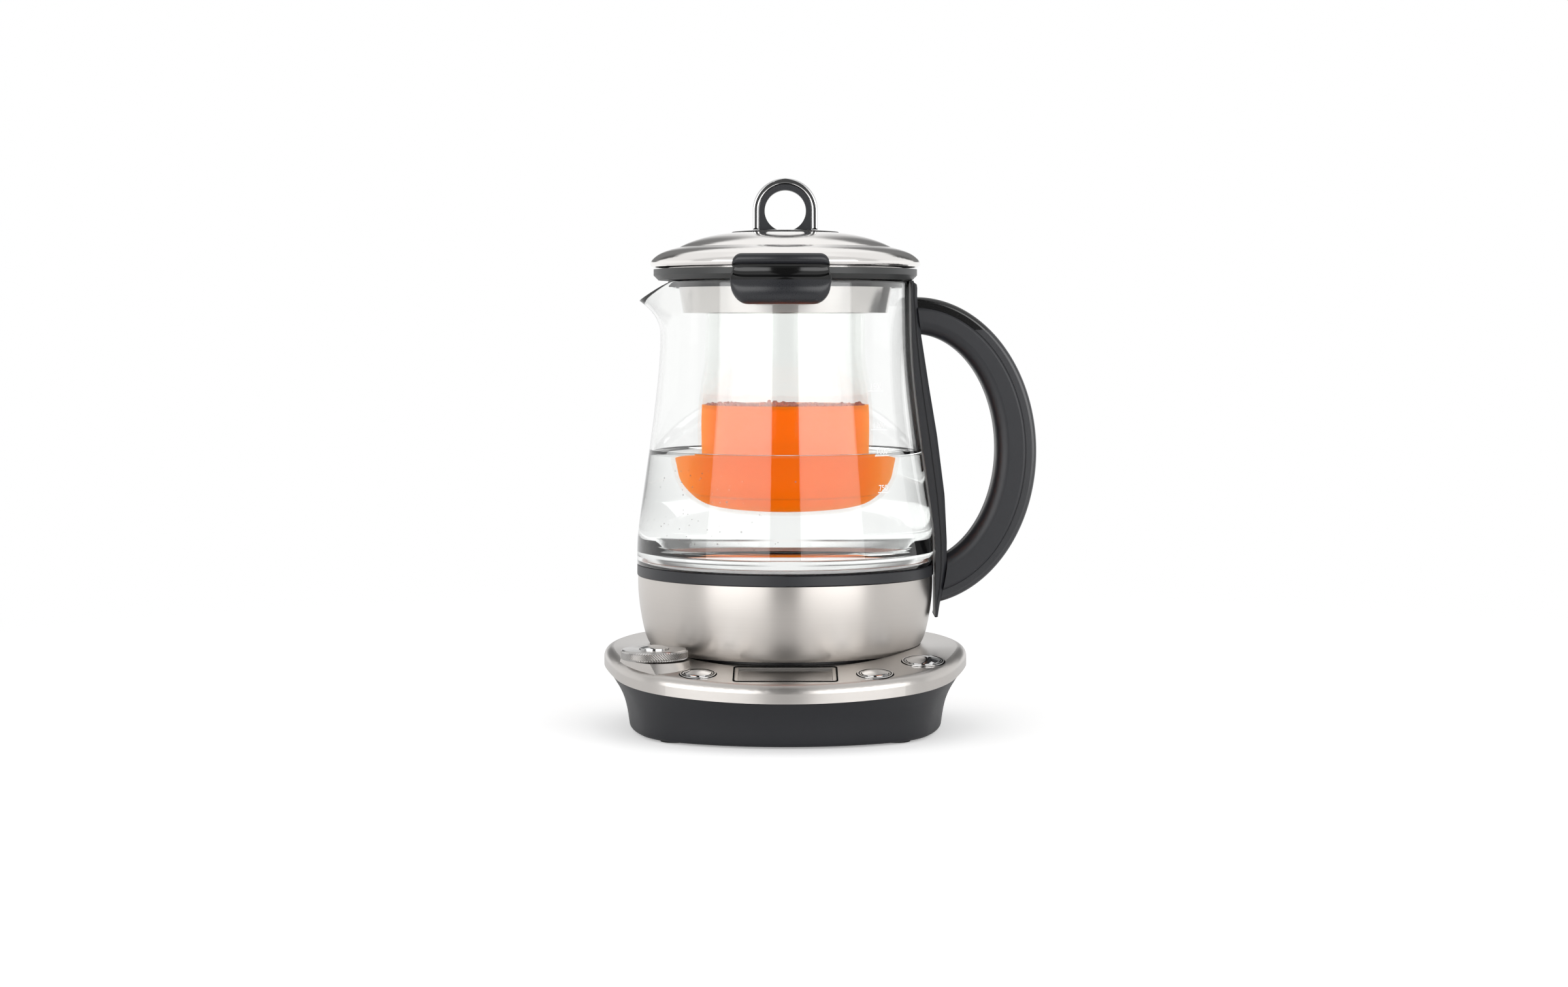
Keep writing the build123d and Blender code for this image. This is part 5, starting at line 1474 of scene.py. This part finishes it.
@dataclass
class Insert:
    """The hanging insert with its tea."""

    bottom: float = 112.0
    wall: float = 2.2
    rim_underside: float = 240.6
    grip_length: float = 54.1
    grip_reach: float = 83.4
    grip_low: float = -13.9
    low_corner: float = 9.0
    high_corner: float = 5.5
    high_lobe: float = 7.6
    waist: tuple[float, float] = (76.0, 5.4)
    waist_share: float = 0.35
    grip_facets: int = 56
    grip_turn: float = 1.8
    groove: tuple[float, float] = (13.2, 21.0)
    grip_section: Profile = (
        (71.2, -0.6),
        (71.4, -8.0),
        (74.0, -13.0),
        (78.6, -13.3),
        (82.4, -10.0),
        (83.2, -5.0),
        (81.2, -0.6),
        (78.6, 2.4),
        (78.4, 6.4),
        (80.6, 8.8),
        (80.4, 11.4),
        (78.0, 12.8),
        (75.2, 12.0),
        (74.2, 9.6),
        (74.1, 6.4),
        (72.4, 5.4),
        (72.1, 2.6),
    )
    lap: float = 0.2
    meniscus: Profile = ((0.0, 1.0), (0.6, 0.6), (1.6, 0.2), (3.0, 0.0))
    froth_reach: float = 44.8
    bubbles: int = 700
    bubble_sizes: tuple[float, ...] = (0.35, 0.45, 0.6, 0.8, 1.1)
    heap_height: float = 1.8
    bowl: Profile = (
        (0.0, 0.0),
        (17.3, 0.8),
        (33.9, 4.2),
        (43.6, 14.5),
        (46.4, 25.0),
        (47.4, 38.0),
        (47.3, 60.0),
        (44.4, 80.0),
    )

    def build(self) -> None:
        """Dresses the insert's nodes and pours the tea."""
        low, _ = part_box("front_grip")
        start, end = (low.z + height * MM for height in self.groove)
        finish = replace(CHARCOAL, name="grip_charcoal", roughness=0.3, gloss_from=start, gloss_to=end)
        dress(RIM_CHARCOAL, ["insert_rim"])
        dress(COLLAR_STEEL, ["insert_collar"])
        dress(SILICONE, ["insert_seal"])
        dress(INSERT_GLASS, ["insert_glass"])
        self.grip("front_grip", math.radians(-90 - self.grip_turn), finish)
        self.grip("back_grip", math.radians(90 - self.grip_turn), finish)
        self.tea()
        bubble_cloud("froth", self.froth(), "insert", FROTH)

    def grip(self, node: str, turn: float, finish: Finish) -> bpy.types.Object:
        """Makes one grip: two bulging lobes with rounded ends and a waist between them.

        Args:
            node: the CAD node that it takes the place of.
            turn: the direction of the grip's middle from the jug's axis.
            finish: its finish.

        Returns:
            The piece.
        """
        loop = [*self.grip_section[-1:], *self.grip_section, *self.grip_section[:1]]
        curve = smooth(loop, steps=5)[5:-6]
        shape = bmesh.new()
        drawn(shape, [(radius, self.rim_underside + up) for radius, up in curve], ring=True)
        half = math.asin(self.grip_length / 2 / self.grip_reach)
        bmesh.ops.rotate(shape, verts=shape.verts, matrix=Matrix.Rotation(-half, 3, "Z"))
        bmesh.ops.spin(
            shape,
            geom=shape.verts[:] + shape.edges[:],
            cent=(0, 0, 0),
            axis=(0, 0, 1),
            angle=2 * half,
            steps=self.grip_facets,
        )
        bmesh.ops.holes_fill(shape, edges=[edge for edge in shape.edges if edge.is_boundary])
        waist = Vector((self.waist[0], self.rim_underside + self.waist[1])) * MM
        for vert in shape.verts:
            angle = math.atan2(vert.co.y, vert.co.x)
            across = abs(angle) / half * self.grip_length / 2
            corner, depth = self.high_corner, self.high_lobe
            if vert.co.z < waist.y:
                corner, depth = self.low_corner, self.waist[1] - self.grip_low
            past = min(1.0, max(0.0, (across - self.grip_length / 2 + corner) / corner))
            share = 1 - (1 - math.sqrt(1 - past * past)) * min(1.0, corner / depth)
            reach = math.hypot(vert.co.x, vert.co.y)
            reach = waist.x + (reach - waist.x) * (self.waist_share + (1 - self.waist_share) * share)
            height = waist.y + (vert.co.z - waist.y) * share
            vert.co = (reach * math.cos(angle + turn), reach * math.sin(angle + turn), height)
        bmesh.ops.translate(shape, verts=shape.verts, vec=TO_JUG_AXIS)
        bmesh.ops.recalc_face_normals(shape, faces=shape.faces)
        for face in shape.faces:
            face.smooth = len(face.verts) == 4
        piece = new_piece(f"{node}_look", shape, "insert", finish)
        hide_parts(node)
        return piece

    def tea(self) -> bpy.types.Object:
        """Returns the tea, up to its level and a little higher along the glass."""
        first = self.bowl[1]
        wall = inset(smooth(self.bowl, before=(-first[0], first[1])), self.wall - self.lap)
        top = TEA_LEVEL - self.bottom
        side = [(radius, self.bottom + height) for radius, height in wall if height < top - 1]
        surface = liquid_top(level(wall, top), TEA_LEVEL, self.meniscus)
        profile = [(0.0, side[0][1]), *side[1:], *surface]
        return new_piece("tea", turned(profile, JUG_AXIS), "insert", TEA)

    def froth(self) -> Iterable[tuple[Vector, float]]:
        """Yields the froth's bubbles, which gather along the glass, middle and radius of each."""
        draw = random.Random(11)
        for _ in range(self.bubbles):
            turn = draw.uniform(0, math.tau)
            size = draw.choice(self.bubble_sizes)
            out = (self.froth_reach - size) * draw.random() ** 0.3
            heap = self.heap_height * (0.5 + 0.5 * math.sin(turn * 5 + 1.3 * math.sin(turn * 3)))
            height = TEA_LEVEL + heap * draw.random()
            yield Vector((out * math.cos(turn), out * math.sin(turn), height)), size


@dataclass
class Lid:
    """The domed lid with its knob."""

    pad_radius: float = 29.0
    pad_top: float = 268.1
    pad_edge: float = 266.42
    pad_thickness: float = 0.4
    pad_steps: int = 12

    def build(self) -> None:
        """Dresses the lid's nodes and lays the pad."""
        dress(LID_STEEL, ["lid_dome"])
        dress(GREY_PLASTIC, ["lid_liner"])
        dress(SILICONE, ["lid_seal"])
        dress(CHROME, ["knob_hoop"])
        dress(CHARCOAL, ["knob_core"])
        dress(SCREW_STEEL, ["lid_screws"])
        self.pad()

    def pad(self) -> bpy.types.Object:
        """Returns the knob's pad with the thin edge that the solid leaves square."""
        fall = self.pad_top - self.pad_edge - self.pad_thickness
        shares = [step / self.pad_steps for step in range(self.pad_steps, -1, -1)]
        upper = [(self.pad_radius * share, self.pad_top - fall * share**2) for share in shares]
        profile = [(0.0, self.pad_edge + fall), (self.pad_radius, self.pad_edge), *upper]
        piece = new_piece("knob_pad", turned(profile, JUG_AXIS), "lid", BLACK)
        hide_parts("lid_pad")
        return piece


# ------------------------------------------------------------------ the studio


@dataclass(frozen=True)
class SoftBox:
    """A soft light: its direction from the object, size and brightness."""

    name: str
    azimuth: float
    distance: float = 1.35
    width: float = 1.26
    height: float = 0.74
    middle: float = 0.38
    radiance: float = 2.2

    def build(self) -> None:
        """Hangs the light, turned towards the object."""
        lamp = bpy.data.lights.new(self.name, "AREA")
        lamp.shape = "RECTANGLE"
        lamp.size, lamp.size_y = self.width, self.height
        lamp.energy = self.radiance * math.pi * self.width * self.height
        box = linked(self.name, lamp)
        turn = math.radians(self.azimuth)
        away = Vector((math.sin(turn), -math.cos(turn), 0)) * self.distance
        box.location = Vector((JUG_AXIS.x, JUG_AXIS.y, self.middle)) + away
        box.rotation_euler = (math.pi / 2, 0, turn)
        box.visible_camera = False
        box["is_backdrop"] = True


@dataclass(frozen=True)
class Studio:
    """Floor, surroundings, lights and camera."""

    floor_reach: float = 14.0
    floor_fill: float = 0.34
    floor_front_dim: float = 0.8
    floor_near: float = 0.25
    floor_far: float = 0.8
    lens: float = 63.0
    camera_back: float = 1.491
    camera_left: float = 0.0007
    camera_height: float = 0.2135
    camera_shift: float = -0.104

    def build(self) -> None:
        """Sets up everything around the object."""
        self.floor()
        self.surroundings()
        SoftBox("soft_box_left", -36.5).build()
        SoftBox("soft_box_right", 36.5).build()
        self.camera()
        bpy.context.scene.view_settings.view_transform = "Standard"

    def floor(self) -> None:
        """Lays the pale floor, which keeps the object's shadow."""
        shape = bmesh.new()
        bmesh.ops.create_circle(shape, cap_ends=True, segments=96, radius=self.floor_reach)
        mesh = bpy.data.meshes.new("floor")
        shape.to_mesh(mesh)
        shape.free()
        made = bpy.data.materials.new("floor_paper")
        made.use_nodes = True
        tree = Tree(made.node_tree)
        x, y, _ = tree.place()
        far = ((x * x + y * y) ** 0.5).step(self.floor_near, self.floor_far)
        paper = tree.add("ShaderNodeBsdfDiffuse", inputs={"Color": opaque(grey(244))})
        camera = tree.number(tree.add("ShaderNodeLightPath").outputs["Is Camera Ray"])
        dim = (1 - tree.azimuth(x, y).step(10, 40)) * (1 - camera) * self.floor_front_dim
        glow = tree.add("ShaderNodeEmission", inputs={"Color": WHITE, "Strength": 1 - dim})
        fade = tree.add("ShaderNodeMixShader", inputs={0: far, 1: paper.outputs[0], 2: glow.outputs[0]})
        near_fill = (1 - far) * camera * self.floor_fill
        fill = tree.add("ShaderNodeEmission", inputs={"Color": WHITE, "Strength": near_fill})
        both = tree.add("ShaderNodeAddShader", inputs={0: fade.outputs[0], 1: fill.outputs[0]})
        tree.add("ShaderNodeOutputMaterial", inputs={"Surface": both.outputs[0]})
        mesh.materials.append(made)
        linked("floor", mesh)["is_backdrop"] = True

    def surroundings(self) -> None:
        """Makes the pale room: white to the camera, with dimmer parts for the reflections."""
        world = bpy.data.worlds.new("pale_room")
        bpy.context.scene.world = world
        world.use_nodes = True
        tree = Tree(world.node_tree)
        way = tree.add("ShaderNodeTexCoord").outputs["Generated"]
        parts = tree.add("ShaderNodeSeparateXYZ", inputs={0: way})
        x, y, z = (tree.number(parts.outputs[k]) for k in range(3))
        # Azimuths are in degrees from straight in front, and z is the height of a direction of length one.
        azimuth = tree.azimuth(x, y)
        high = z.step(0.36, 0.5)
        gap = 1 - azimuth.step(10, 15)
        flank = azimuth.between(63, 84, 6) * (1 - high)
        wing = azimuth.between(148, 172, 7) * z.between(0.14, 0.52, 0.08)
        slope = azimuth.between(84, 150, 12) * z.between(0.4, 0.84, 0.12)
        above = (1 - azimuth.step(80, 110)) * high * (1 - gap)
        light = 1 - gap * 0.92 - flank * 0.3 - wing * 0.8 - slope * 0.1 - above * 0.25
        rays = tree.add("ShaderNodeLightPath").outputs
        camera = tree.number(rays["Is Camera Ray"])
        light = light * (1 - camera) + camera
        room = tree.add("ShaderNodeBackground", inputs={"Color": WHITE, "Strength": light})
        tree.add("ShaderNodeOutputWorld", inputs={"Surface": room.outputs[0]})

    def camera(self) -> None:
        """Puts the camera in place, level and straight ahead."""
        lens = bpy.data.cameras.new("camera")
        lens.sensor_width = 36.0
        lens.lens = self.lens
        lens.shift_y = self.camera_shift
        camera = linked("camera", lens)
        camera.location = (JUG_AXIS.x - self.camera_left, JUG_AXIS.y - self.camera_back, self.camera_height)
        camera.rotation_euler = (math.pi / 2, 0, 0)
        bpy.context.scene.camera = camera


def main() -> None:
    """Builds every piece, then the studio."""
    logging.basicConfig(level=logging.INFO, format="%(name)s: %(message)s")
    for part in (Base(), Jug(), Insert(), Lid()):
        LOG.info("building %s", type(part).__name__)
        part.build()
    Studio().build()
    boxes = {"cad": CAD_BOX, "visual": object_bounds()}
    {name: [list(corner) for corner in box] for name, box in boxes.items()}


if __name__ == "__main__":
    main()
